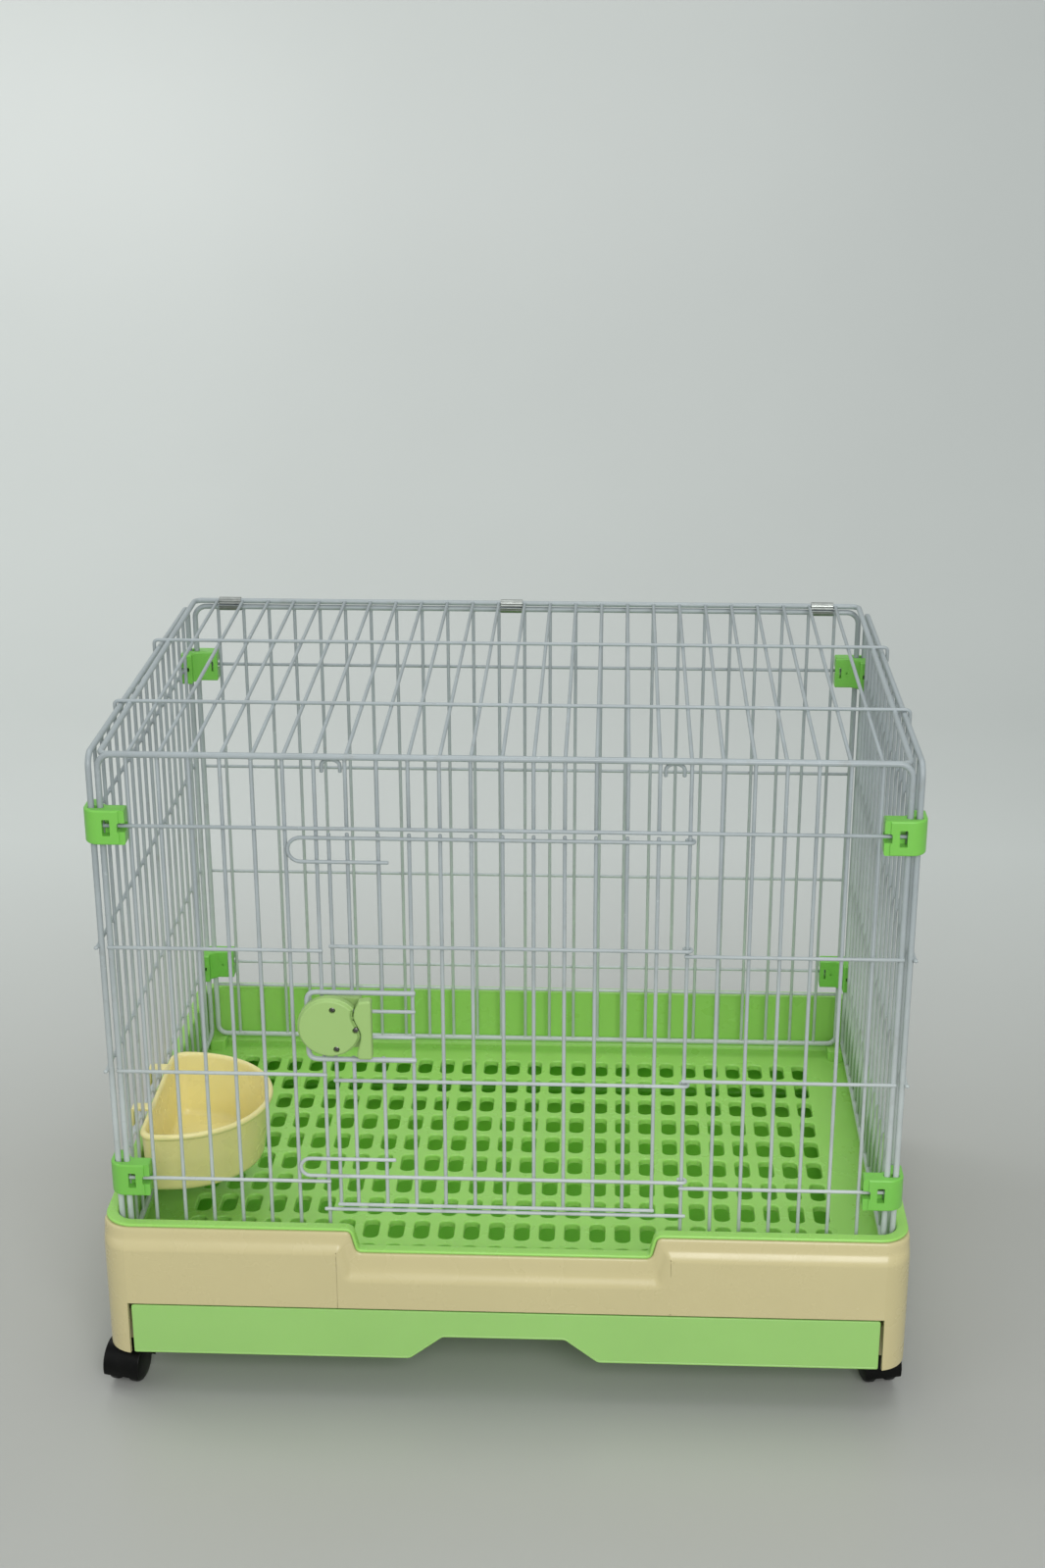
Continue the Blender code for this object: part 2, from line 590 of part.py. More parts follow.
# ---------------------------------------------------------------- base
def make_base():
    outer = [level(rounded_outline(BASE_HALF_X - dx, BASE_HALF_Y - dy, radius, 5), z)
             for dx, dy, radius, z in ((0, 0, 0.022, LEG_Z), (0, 0, 0.022, 0.130),
                                       (0.0004, 0.002, 0.021, 0.138), (0.001, 0.005, 0.019, BASE_TOP))]
    base = loft("base_frame", outer, "cream")
    inner = rounded_outline(BASE_HALF_X - WALL, BASE_HALF_Y - WALL, 0.019, 5)
    top_inner = rounded_outline(BASE_HALF_X - WALL - 0.001, BASE_HALF_Y - WALL - 0.005, 0.016, 5)
    cut(base, loft("base_cavity", [level(inner, 0.03), level(inner, 0.128), level(top_inner, 0.1395)]))
    mouth = [half + GAP + 0.0002 for half in TRAY_OUT]
    cut(base, prism("tray_mouth", rounded_outline(*mouth), 0.12, 0.16, lambda a, b, c: (a, b, c)))
    notch = NOTCH_X + 0.0028
    cut(base, boxes("base_notch", [((-notch, -0.25, NOTCH_Z - 0.0028), (notch, -0.19, 0.16))]))
    cut(base, boxes("drawer_mouth", [((-DRAWER_OPEN_X, -0.25, 0.02), (DRAWER_OPEN_X, -0.19, 0.0803))]))
    rails = []
    sockets = []
    for side in (-1, 1):
        xs = sorted((side * 0.2775, side * (BASE_HALF_X - WALL / 2)))
        rails.append(((xs[0], -0.175, 0.0700), (xs[1], 0.200, RAIL_Z)))
        xs = sorted((side * DRAWER_OPEN_X, side * (BASE_HALF_X - WALL / 2)))
        for end in (-1, 1):
            ys = sorted((end * 0.168, end * (BASE_HALF_Y - 0.020)))
            sockets.append(((xs[0], ys[0], LEG_Z), (xs[1], ys[1], 0.062)))
    join(base, boxes("drawer_rails", rails))
    join(base, boxes("stem_sockets", sockets))
    for end_x, end_y in CORNERS:
        place = Matrix.Translation((end_x * STEM[0], end_y * STEM[1], 0))
        cut(base, cylinder(f"stem_bore_{end_x}_{end_y}", 0.0036, 0.03, 0.0585, place, sides=12))


def make_floor_tray():
    rings = (
        (TRAY_OUT, FLOOR_Z - SHELL), (TRAY_OUT, RIM_Z - SHELL), (TRAY_RIM, RIM_Z - SHELL),
        (TRAY_RIM, RIM_Z), (TRAY_IN, RIM_Z), (TRAY_IN, FLOOR_Z),
    )
    tray = loft("floor_tray", [level(rounded_outline(*size), z) for size, z in rings], "green")
    cut(tray, boxes("tray_notch", [((-NOTCH_X, -0.25, NOTCH_Z), (NOTCH_X, -0.19, 0.16))]))
    lip = (0.2075, TRAY_IN[1] + 0.0003)
    ledge = NOTCH_X + 0.001
    lips = [((-ledge, -lip[0] + 0.0025, NOTCH_Z - SHELL), (ledge, -lip[1], NOTCH_Z))]
    for side in (-1, 1):
        xs = sorted((side * NOTCH_X, side * (NOTCH_X + SHELL)))
        lips.append(((xs[0], -lip[0], NOTCH_Z - SHELL), (xs[1], -lip[1] - 0.0001, RIM_Z - 0.0001)))
    for i, block in enumerate(lips):
        join(tray, boxes(f"notch_lip_{i}", [block]))
    pads = []
    for end_x, end_y in CORNERS:
        xs = sorted((end_x * 0.274, end_x * 0.2905))
        ys = sorted((end_y * 0.174, end_y * 0.1950))
        pads.append(((xs[0], ys[0], FLOOR_Z - 0.001), (xs[1], ys[1], PANEL_FOOT_Z - THICK - GAP)))
    join(tray, boxes("corner_pads", pads))
    slots = []
    for column in range(SLOT_COLUMNS):
        x = (column - (SLOT_COLUMNS - 1) / 2) * SLOT_PITCH[0]
        for row in range(SLOT_ROWS):
            y = (row - (SLOT_ROWS - 1) / 2) * SLOT_PITCH[1]
            low = (x - SLOT_SIZE[0] / 2, y - SLOT_SIZE[1] / 2, FLOOR_Z - 0.006)
            high = (x + SLOT_SIZE[0] / 2, y + SLOT_SIZE[1] / 2, FLOOR_Z + 0.004)
            slots.append((low, high))
    cut(tray, boxes("floor_slots", slots))


def make_drawer():
    low, under, top = 0.042, RAIL_Z + GAP, RAIL_Z + GAP + SHELL
    back = 0.200
    front = -0.186
    middle = (back + front) / 2
    half_y = (back - front) / 2

    def ring(half_x, grow, z, forward=0.0):
        outline = rounded_outline(half_x, half_y + grow + forward / 2, 0.006, 2)
        return [(x, y + middle - forward / 2, z) for x, y in outline]

    rings = [
        ring(0.2740, 0, low), ring(0.2740, 0, under), ring(0.2832, 0.004, under, 0.021),
        ring(0.2832, 0.004, top, 0.021), ring(0.2715, -SHELL, top),
        ring(0.2715, -SHELL, low + SHELL),
    ]
    drawer = loft("drawer", rings, "green")
    face = ((-DRAWER_HALF_X, -BASE_HALF_Y, 0.037), (DRAWER_HALF_X, -BASE_HALF_Y + SHELL, DRAWER_TOP))
    join(drawer, boxes("drawer_face", [face]))
    grip = [(-0.071, 0.030), (0.071, 0.030), (0.071, 0.0372), (0.0465, 0.0565), (-0.0465, 0.0565),
            (-0.071, 0.0372)]
    cut(drawer, prism("hand_cut", grip, -0.22, -0.205, latch_map))


def make_food_bowl():
    """A D-shaped bowl whose two tabs reach over a cross wire and down outside the cage."""
    def ring(scale, z):
        """A D shape: straight along the cage wall, half an ellipse towards the middle."""
        points = arc((0, 0), 1.0, -pi / 2, pi / 2, 14)
        ring_points = []
        for a, b in points:
            x = BOWL_BACK_X + (1 - scale) * 0.004 + scale * BOWL_DEPTH * max(a, 0)
            ring_points.append((x, BOWL_Y + scale * BOWL_HALF * b, z))
        return ring_points

    def shrunk(scale, z):
        return [(x + 0.0025, y, z) for x, y, z in ring(scale, z)]

    lip_z = BOWL_RIM_Z - 0.0045
    rings = [
        ring(0.86, BOWL_FOOT_Z), ring(0.958, lip_z), ring(1.0, lip_z + 0.0008),
        ring(1.0, BOWL_RIM_Z), shrunk(0.925, BOWL_RIM_Z), shrunk(0.83, BOWL_FOOT_Z + SHELL),
    ]
    bowl = loft("food_bowl", rings, "bowl")
    row_z = CLIP_ROWS[1]
    tab_z = row_z + THIN + GAP
    for i, y in enumerate(BOWL_TAB_ROWS):
        near, far = y - BOWL_TAB, y + BOWL_TAB
        over = ((BOWL_HOOK_X[0], near, tab_z), (BOWL_BACK_X + 0.001, far, tab_z + BOWL_TAB_T))
        down = ((BOWL_HOOK_X[0], near, row_z - 0.0120), (BOWL_HOOK_X[1], far, tab_z + 0.0010))
        join(bowl, boxes(f"bowl_tab_{i}", [over]))
        join(bowl, boxes(f"bowl_hook_{i}", [down]))


# ---------------------------------------------------------------- casters
def caster_frame(end_x, end_y):
    """Local frame of a caster: X along the trail, Y along the axle, origin under the stem."""
    outward = end_x * end_y
    angle = atan2(end_x * cos(TRAIL_ANGLE), outward * end_x * sin(TRAIL_ANGLE))
    return Matrix.Translation((end_x * STEM[0], end_y * STEM[1], 0)) @ Matrix.Rotation(angle, 4, "Z")


def make_caster(label, end_x, end_y):
    frame = caster_frame(end_x, end_y)
    axle = frame @ Matrix.Translation((TRAIL, 0, WHEEL_R)) @ Matrix.Rotation(radians(90), 4, "X")
    hood_half = WEB_W / 2 + WHEEL_W + 0.0008
    hood = cylinder(f"caster_hood_{label}", 0.0178, -hood_half, hood_half, axle, "black", sides=24)
    wheel_start = WEB_W / 2
    join(hood, cylinder(f"turntable_{label}", 0.0095, 0.020, 0.0355, frame, sides=16))
    for side in (-1, 1):
        low, high = sorted((side * wheel_start, side * 0.03))
        cut(hood, cylinder(f"wheel_room_{label}_{side}", WHEEL_R + 0.0006, low, high, axle, sides=24))
    skirt = boxes(f"hood_trim_{label}", [((-0.02, -0.03, -0.01), (0.04, 0.03, 0.0115))])
    skirt.matrix_world = frame
    cut(hood, skirt)
    join(hood, cylinder(f"stem_{label}", 0.0033, 0.030, 0.057, frame, sides=12))
    cut(hood, cylinder(f"axle_bore_{label}", AXLE_R + GAP, -0.02, 0.02, axle, sides=12))
    half = WEB_W / 2 + WHEEL_W - 0.001
    cylinder(f"caster_axle_{label}", AXLE_R, -half, half, axle, "steel", sides=10)
    for side, name in ((-1, "a"), (1, "b")):
        low, high = sorted((side * (wheel_start + 0.0006), side * (wheel_start + WHEEL_W)))
        wheel = cylinder(f"caster_wheel_{label}_{name}", WHEEL_R, low, high, axle, "black", sides=24)
        bore = cylinder(f"wheel_bore_{label}_{name}", AXLE_R + GAP, low - 0.01, high + 0.01, axle, sides=10)
        cut(wheel, bore)
        smooth(wheel)


# ---------------------------------------------------------------- build
CORNERS = ((-1, -1), (1, -1), (-1, 1), (1, 1))
CORNER_NAMES = ("front_left", "front_right", "rear_left", "rear_right")

clear_scene()
PARTS = collection("wire_rabbit_cage")
CUTTERS = collection("cutters")
MATERIALS = make_materials()

make_base()
make_floor_tray()
make_drawer()
make_front_panel()
make_back_panel()
make_side_panel("left_panel", -1)
make_side_panel("right_panel", 1)
make_lid()
make_door()
make_latch()
make_food_bowl()
for clip_name, clip_x in zip(("left", "middle", "right"), LID_CLIP_X):
    make_lid_clip(f"lid_clip_{clip_name}", clip_x)
for corner_name, (corner_x, corner_y) in zip(CORNER_NAMES, CORNERS):
    for height_name, clip_z in zip(("upper", "lower"), CLIP_ROWS):
        make_corner_clip(f"corner_clip_{corner_name}_{height_name}", corner_x, corner_y, clip_z)
    make_caster(corner_name, corner_x, corner_y)
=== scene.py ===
"""Looks of the wire rabbit cage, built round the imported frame. All lengths are in metres."""

import json
from math import asin, atan2, cos, pi, radians, sin

import bmesh
import bpy
from mathutils import Matrix, Vector


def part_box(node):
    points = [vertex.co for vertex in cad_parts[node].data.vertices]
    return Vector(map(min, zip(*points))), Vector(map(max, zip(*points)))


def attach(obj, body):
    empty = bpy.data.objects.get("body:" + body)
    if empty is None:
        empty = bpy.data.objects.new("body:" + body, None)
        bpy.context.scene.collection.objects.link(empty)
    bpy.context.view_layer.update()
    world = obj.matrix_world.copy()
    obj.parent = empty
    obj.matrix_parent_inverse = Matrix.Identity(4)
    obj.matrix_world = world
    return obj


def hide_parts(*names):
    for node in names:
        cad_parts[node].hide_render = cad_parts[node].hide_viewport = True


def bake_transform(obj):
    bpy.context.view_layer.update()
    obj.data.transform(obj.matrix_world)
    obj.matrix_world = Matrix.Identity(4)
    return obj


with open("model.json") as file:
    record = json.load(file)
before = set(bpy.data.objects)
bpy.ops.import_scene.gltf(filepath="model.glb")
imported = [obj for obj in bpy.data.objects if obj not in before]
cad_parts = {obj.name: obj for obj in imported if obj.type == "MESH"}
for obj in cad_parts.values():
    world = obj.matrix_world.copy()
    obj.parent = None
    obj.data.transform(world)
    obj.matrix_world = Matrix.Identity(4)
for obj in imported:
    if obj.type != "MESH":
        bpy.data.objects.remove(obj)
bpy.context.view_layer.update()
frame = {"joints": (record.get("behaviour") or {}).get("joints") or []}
JOINTS = {joint["name"]: joint for joint in frame["joints"]}

# ---------------------------------------------------------------- sizes taken from the frame
BAR_THICK = 0.0020           # half the side of the frame's thick square bars
FRONT_LOW, FRONT_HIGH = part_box("front_panel")
SIDE_LOW, SIDE_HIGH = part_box("right_panel")
BASE_LOW, BASE_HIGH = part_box("base_frame")
TRAY_LOW, TRAY_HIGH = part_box("floor_tray")
DRAWER_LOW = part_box("drawer")[0]
BOWL_LOW, BOWL_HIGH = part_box("food_bowl")
COVER_LOW, COVER_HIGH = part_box("latch_front_cover")
INNER_LOW, INNER_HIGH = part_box("latch_back_cover")
SLIDER_LOW, SLIDER_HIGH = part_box("latch_slider")

CAGE_HALF_X = FRONT_HIGH.x - BAR_THICK
CAGE_HALF_Y = BAR_THICK - FRONT_HIGH.y
TOP_Z = FRONT_HIGH.z - BAR_THICK
FOOT_Z = FRONT_LOW.z + BAR_THICK
SIDE_X = SIDE_LOW.x + BAR_THICK
SIDE_TOP_Z = SIDE_HIGH.z - BAR_THICK
BASE_HALF_X = BASE_HIGH.x
BASE_HALF_Y = BASE_HIGH.y
BASE_TOP = BASE_HIGH.z
LEG_Z = BASE_LOW.z
RIM_Z = TRAY_HIGH.z
SHELL = 0.0025
FLOOR_Z = TRAY_LOW.z + SHELL


def middle_z(node):
    low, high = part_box(node)
    return (low.z + high.z) / 2


CLIP_ROWS = (middle_z("corner_clip_front_left_upper"), middle_z("corner_clip_front_left_lower"))
LID_AXIS = Vector(JOINTS["lid_hinge"]["pos_m"])
DOOR_AXIS = Vector(JOINTS["door_hinge"]["pos_m"])

# ---------------------------------------------------------------- wires
THIN = 0.0014                # radii of the round wires
THICK = 0.00225
LOOP = 0.0019
LAYER = 2 * THIN             # a cross wire lies on the outside of the upright wires
INNER_WIRES = 25
SIDE_SPACES = 17
DOOR_WIRES = 11
PITCH = 2 * DOOR_AXIS.x / (DOOR_WIRES + 1)
SIDE_PITCH = 2 * CAGE_HALF_Y / SIDE_SPACES
STUB_ROWS = (0.3652, 0.2652)
SILL_Z = 0.1522
CORNER_R = 0.010             # a panel frame's bends at the top and at the foot
FOOT_R = 0.0045

# ---------------------------------------------------------------- door and latch
DOOR_ROWS = (0.4525, 0.369, 0.261, 0.1805, 0.1563)
DOOR_LEFT_X = -0.1225
DOOR_SPAN = (0.1551, 0.4547)
EYE_R = 0.0030
HOOK_X = 0.1515
HOOK_TAIL_X = -0.081
LOOP_X = -0.142
LOOP_ROWS = (0.3327, 0.2787)
LOOP_Y = -CAGE_HALF_Y - THIN - LOOP
MID_ROWS = (0.3177, 0.297)
LATCH_R = (COVER_HIGH.z - COVER_LOW.z) / 2
LATCH_C = (COVER_LOW.x + LATCH_R, (COVER_HIGH.z + COVER_LOW.z) / 2)
SCREWS = tuple((sum(c.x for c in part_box(f"latch_screw_{i}")) / 2, middle_z(f"latch_screw_{i}"))
               for i in (1, 2, 3))
ARM_Z = middle_z("latch_spring")
WAVE_REACH = 0.0081                  # the cover's wavy edge, measured from the slider's right side
WAVE_SWING = (0.00245, 0.00140)
WAVE_TURN = 0.60
WAVE_START, WAVE_LENGTH = 0.26, 0.68
COVER_DEEP = 0.0076
POCKET_X = LATCH_C[0] - 0.0185       # the spring's pocket in the cover
COLLAR_X = LATCH_C[0] + 0.0140
POCKET_HALF, ARM_HALF = 0.0042, 0.0020   # half heights of the pocket and of the arm's slot
SCREW_BORE, SCREW_SINK = 0.0014, 0.00235
SCREW_SEAT = 0.0026
SCREW_SPAN = (-0.190, -0.206)
# (radius, distance in front of the cage's middle) from the tip to the head
SCREW_PROFILE = ((0.0007, 0.1862), (0.0011, 0.1872), (0.0011, 0.1977), (0.0020, 0.1977),
                 (0.0020, 0.1984), (0.00185, 0.1989), (0.0013, 0.19925), (0.0006, 0.1993))
CROSS_HALF = (0.0013, 0.00026)
CROSS_SPAN = (0.1986, 0.2005)
TONGUE_Z = 0.3095
TONGUE_TIP = -0.1296
SPRING_TURNS = 7
SPRING_R = (0.00255, 0.0030)
SPRING_WIRE = 0.0003

# ---------------------------------------------------------------- lid
LID_LENGTH = 0.3686
LID_DROP = 0.0066
LID_HALF_X = LID_AXIS.x + 0.2824
LID_CROSS = (0.1190, 0.2655)
LID_HOOK_X = 0.2936
LID_HOOK_DROP = 0.0085
LID_CATCH_X = 0.120

# ---------------------------------------------------------------- clips
CLIP_LEG = (0.0103, 0.0130)          # thickness of a corner clip's side and front legs
CLIP_CHAMFER = (0.0062, 0.0050)
CLIP_R = 0.011
CLIP_EDGE = 0.0015
CLIP_WINDOW = (0.2756, 0.2811, 0.0061)   # X of both sides and half height
CLIP_SLIT = (0.2688, 0.2704, 0.0046)
CLIP_HOLE = (0.2740, 0.2756, 0.0010)
CLIP_FLANGE = 0.0042
CLIP_STEP = 0.0011
BAND_IN = 0.00262                    # a lid clip's inner and outer radius round a wire
BAND_OUT = 0.00322
BAND_SLIT = 0.0009
BAND_LIP = 0.0009

# ---------------------------------------------------------------- base, trays and bowl
NOTCH_Z = 0.128
RIM_DROP = RIM_Z - BASE_TOP
BASE_SECTION = (                     # line, insets in X and Y, and distance under (foot: over) the line
    ("foot", 0.0030, 0.0030, 0.0004), ("foot", 0.0024, 0.0024, 0), ("foot", 0.0006, 0.0006, 0),
    ("foot", 0.0001, 0.0001, 0.0003), ("foot", 0.0, 0.0, 0.0010), ("bend", 0.0001, 0.0002, 0.0056),
    ("bend", 0.0002, 0.0006, 0.0038), ("bend", 0.0003, 0.0012, 0.0022), ("bend", 0.0004, 0.0019, 0.0008),
    ("slope", 0.0005, 0.0026, 0.04), ("slope", 0.0006, 0.0033, 0.12), ("slope", 0.0007, 0.0039, 0.21),
    ("slope", 0.0008, 0.0044, 0.32), ("slope", 0.0009, 0.0048, 0.46), ("slope", 0.0010, 0.0052, 0.68),
    ("top", 0.0011, 0.0056, 0.0022), ("top", 0.0013, 0.0061, 0.0010), ("top", 0.0017, 0.0067, 0.0003),
    ("top", 0.0024, 0.0076, 0), ("top", 0.0062, 0.0106, 0), ("top", 0.0072, 0.0116, 0.0006),
    ("top", 0.0075, 0.0118, 0.0014), ("top", 0.0075, 0.0118, 0.0040), ("bend", 0.0046, 0.0080, 0.0030),
    ("bend", 0.0030, 0.0032, 0.0060))
RAIL_X, RAIL_Y, RAIL_Z = 0.2775, (-0.175, 0.200), (0.0700, 0.0732)
STEM = (0.289, 0.181)                # X and Y of a caster's stem
STEM_BORE = 0.0036
PAD = (0.2755, 0.2905, 0.175, 0.1950)    # under a corner post: X and Y of its sides
RIM_R = 0.0226                       # corner radius of the tray's rim
SHOULDER_Z = 0.1312
NOTCH_SHOULDER_Z = 0.1078
S_STEPS = 8                          # steps of each bend of the S beside the notch
S_CLEAR = 0.1300                     # the S lies between these two X values
S_LOW_X = 0.1040
TRAY_CENTRE = (0.2788, 0.1845)       # middle of the tray's corner rounding
BASE_CENTRE = (0.281, 0.191)
TRAY_IN = 0.0135                     # corner radii of the tray's inside and outside
TRAY_OUT = 0.0160
SLOT_COLUMNS = 26
SLOT_ROWS = 10
SLOT_PITCH = (0.01983, 0.03395)
SLOT_HALF = (0.0060, 0.0130)
SLOT_DEPTH = 0.0050
SLOT_R, SLOT_EDGE, SLOT_STEPS = 0.0052, 0.0014, 4
CELL_R = 0.0050
PAN_Y = (0.200, -0.186)
PAN_UNDER, PAN_TOP = 0.0735, 0.0760
PAN_R = 0.010
FLANGE = 0.021                       # how far the pan's flange reaches towards the front plate
PAN_ROWS = (                         # half width, growth in Y, line, height over it, reach to the front
    (0.2700, -0.004, "base", 0, 0), (0.2722, -0.0018, "base", 0.0006, 0),
    (0.2736, -0.0006, "base", 0.0022, 0), (0.2740, 0, "base", 0.0045, 0),
    (0.2740, 0, "under", 0, 0), (0.2826, 0.0034, "under", 0, FLANGE),
    (0.2832, 0.0040, "under", 0.0006, FLANGE), (0.2832, 0.0040, "top", -0.0006, FLANGE),
    (0.2826, 0.0034, "top", 0, FLANGE), (0.2722, -0.0018, "top", 0, 0),
    (0.2715, -0.0025, "top", -0.0008, 0), (0.2715, -0.0025, "base", 0.0060, 0),
    (0.2708, -0.0032, "base", 0.0040, 0), (0.2690, -0.0050, "base", SHELL, 0))
PLATE_X, PLATE_TOP = 0.2817, 0.079   # the drawer's front plate
PLATE_RADII = (0.0015, 0.007, 0.007, 0.007, 0.007, 0.0015, 0.002, 0.002)
HAND_X, HAND_Z = (0.0715, 0.0465), 0.0565
BOWL_BACK = 0.0142                   # from the hooks' outside to the bowl's flat back
BOWL_CORNER = 0.012
BOWL_TAB = 0.0050
BOWL_TAB_ROWS = (-1, -4)
BOWL_NUB = (0.040, 0.026, 0.0028)
BOWL_OUTSIDE = (                     # inset, shift of the back, height over the foot
    (0.0165, 0.0060, 0), (0.0140, 0.0045, 0.0001), (0.0115, 0.0031, 0.0010), (0.0098, 0.0022, 0.0024),
    (0.0089, 0.0018, 0.0042), (0.0085, 0.0016, 0.0062))
BOWL_RIM = (                         # the same, with the distance under the rim
    (0.0032, 0.0008, 0.0054), (0.0029, 0.0008, 0.0049), (0.0020, 0.0006, 0.0049), (0.0010, 0.0004, 0.0046),
    (0.0003, 0.0001, 0.0038), (0.0, 0.0, 0.0026), (0.0002, 0.0002, 0.0015), (0.0008, 0.0007, 0.0006),
    (0.0016, 0.0014, 0.0001), (0.0026, 0.0022, 0), (0.0036, 0.0030, 0.0003), (0.0044, 0.0036, 0.0010),
    (0.0050, 0.0040, 0.0022), (0.0053, 0.0042, 0.0040))
BOWL_INSIDE = (
    (0.0108, 0.0054, 0.0082), (0.0114, 0.0060, 0.0058), (0.0128, 0.0070, 0.0038), (0.0150, 0.0084, 0.0027),
    (0.0190, 0.0100, 0.0025))
MOUTH_X = 0.2843
MOUTH_Z = 0.0803
GAP = 0.0003

# ---------------------------------------------------------------- casters
HOOD_R, HOOD_HALF = 0.0178, 0.0143
HOOD_ARC = (radians(-16), radians(196))
HOOD_EDGE = (                        # distance from the side, inset, thickness
    (0, 0.0008, 0.0004), (0.0002, 0.0003, 0.0009), (0.0009, 0, 0.0012))
WEB_HALF = 0.0040
# (radius, height) of the swivel post and stem
POST = ((0.0088, 0.0200), (0.0093, 0.0206), (0.0095, 0.0215), (0.0095, 0.0345), (0.0090, 0.0353),
        (0.0033, 0.0355), (0.0033, 0.0560), (0.0027, 0.0570))
PIN_HALF = 0.0122
WHEEL_SPAN = (0.0046, 0.0135)
WHEEL_BORE, WHEEL_CAP = 0.0023, 0.0010
WHEEL_FACE = (                       # inset from the tread, distance from the outer face
    (0, 0.0042), (0.0003, 0.0030), (0.0010, 0.0019), (0.0022, 0.0011), (0.0040, 0.0006),
    (0.0070, 0.0002))


# ---------------------------------------------------------------- mesh building
class Skin:
    """Vertices and faces of one piece while it is being built."""

    def __init__(self):
        self.points = []
        self.faces = []

    def add(self, points, faces):
        first = len(self.points)
        self.points += [tuple(p) for p in points]
        self.faces += [tuple(first + i for i in face) for face in faces]

    def loft(self, rings, capped=True, ring_of_rings=False):
        """Skin a row of closed loops that have the same number of points."""
        count = len(rings[0])
        rows = len(rings)
        faces = []
        for r in range(rows if ring_of_rings else rows - 1):
            s = (r + 1) % rows
            for i in range(count):
                j = (i + 1) % count
                faces.append((r * count + i, r * count + j, s * count + j, s * count + i))
        if capped and not ring_of_rings:
            faces.append(tuple(reversed(range(count))))
            faces.append(tuple((rows - 1) * count + i for i in range(count)))
        self.add([p for ring in rings for p in ring], faces)


def turns(count):
    """Equal steps round a full circle."""
    return [2 * pi * k / count for k in range(count)]


def arc(centre, radius, start, end, steps):
    """Points on a part of a circle, with both its ends."""
    span = [start + (end - start) * i / steps for i in range(steps + 1)]
    return [(centre[0] + radius * cos(a), centre[1] + radius * sin(a)) for a in span]


def flat_map(a, b, c):
    """For an outline in X and Y that is extruded along Z."""
    return (a, b, c)


def upright_map(a, b, c):
    """For an outline in X and Z that is extruded along Y."""
    return (a, c, b)


def rounded_outline(half_x, half_y, radius, steps=6, low_radius=None):
    """Corner points of a rounded rectangle about the origin, anticlockwise."""
    points = []
    for quarter, (sx, sy) in enumerate(((1, 1), (-1, 1), (-1, -1), (1, -1))):
        r = low_radius if low_radius and sy < 0 else radius
        centre = (sx * (half_x - r), sy * (half_y - r))
        points += arc(centre, r, quarter * pi / 2, (quarter + 1) * pi / 2, steps)
    return points


def rounded_outline_at(x0, x1, y0, y1, radius, steps=4):
    """A rounded rectangle between two values on each axis."""
    cx, cy = (x0 + x1) / 2, (y0 + y1) / 2
    return [(cx + a, cy + b) for a, b in rounded_outline((x1 - x0) / 2, (y1 - y0) / 2, radius, steps)]


STRAIGHT = radians(178)      # a bend that is flatter than this is left as it is


def fillet(points, radius, steps=6, closed=False):
    """Round the inner corners of a 3-D route, or all of them when it is closed."""
    route = [Vector(p) for p in points]
    count = len(route)
    made = []
    for i, here in enumerate(route):
        if not closed and i in (0, count - 1):
            made.append(here)
            continue
        back = route[i - 1] - here
        ahead = route[(i + 1) % count] - here
        turn = back.angle(ahead)
        if turn > STRAIGHT:
            made.append(here)
            continue
        reach = min(radius / max(0.001, abs(sin(turn / 2) / cos(turn / 2))),
                    0.49 * back.length, 0.49 * ahead.length)
        first = here + back.normalized() * reach
        last = here + ahead.normalized() * reach
        for step in range(steps + 1):
            t = step / steps
            made.append(first * (1 - t) ** 2 + here * 2 * t * (1 - t) + last * t ** 2)
    return made


DOME = ((0.0, 1.0), (0.35, 0.86), (0.55, 0.52))


def tube(skin, path, radius, sides=10, closed=False):
    """A round wire along a path, with slightly domed ends."""
    points = [Vector(p) for p in path]
    count = len(points)
    tangents = []
    for i in range(count):
        before = points[i - 1] if closed or i > 0 else points[0]
        after = points[(i + 1) % count] if closed or i < count - 1 else points[-1]
        tangents.append((after - before).normalized())
    if closed:
        middle = sum(points, Vector()) / count
        side = (points[0] - middle).cross(points[count // 5] - middle).normalized()
    else:
        side = tangents[0].orthogonal().normalized()
    sides_of = [side]
    for before, after in zip(tangents, tangents[1:]):
        side = before.rotation_difference(after) @ side
        sides_of.append(side)

    def ring(centre, tangent, across, size):
        up = tangent.cross(across).normalized()
        flat = up.cross(tangent)
        return [centre + (flat * cos(a) + up * sin(a)) * size for a in turns(sides)]

    rings = [ring(*place, radius) for place in zip(points, tangents, sides_of)]
    if closed:
        skin.loft(rings, ring_of_rings=True)
        return
    start = [ring(points[0] - tangents[0] * radius * out, tangents[0], sides_of[0], radius * size)
             for out, size in DOME[:0:-1]]
    end = [ring(points[-1] + tangents[-1] * radius * out, tangents[-1], sides_of[-1], radius * size)
           for out, size in DOME[1:]]
    skin.loft(start + rings + end)


def ball(skin, centre, radii, segments=8, rows=5):
    """An ellipsoid, used for the small lumps of weld and coating where wires meet."""
    rings = []
    for polar in [pi * r / rows for r in range(1, rows)]:
        rings.append([(centre[0] + radii[0] * sin(polar) * cos(turn),
                       centre[1] + radii[1] * sin(polar) * sin(turn),
                       centre[2] + radii[2] * cos(polar)) for turn in turns(segments)])
    skin.loft(rings)


def offset(outline, distance):
    """Move every side of an anticlockwise outline inwards by the distance."""
    count = len(outline)
    moved = []
    for i in range(count):
        before = Vector(outline[i - 1])
        here = Vector(outline[i])
        after = Vector(outline[(i + 1) % count])
        first = (here - before).normalized()
        second = (after - here).normalized()
        normal = Vector((-first.y, first.x)) + Vector((-second.y, second.x))
        size = max(0.5, normal.length_squared / 2)
        moved.append(tuple(here + normal * (distance / size)))
    return moved


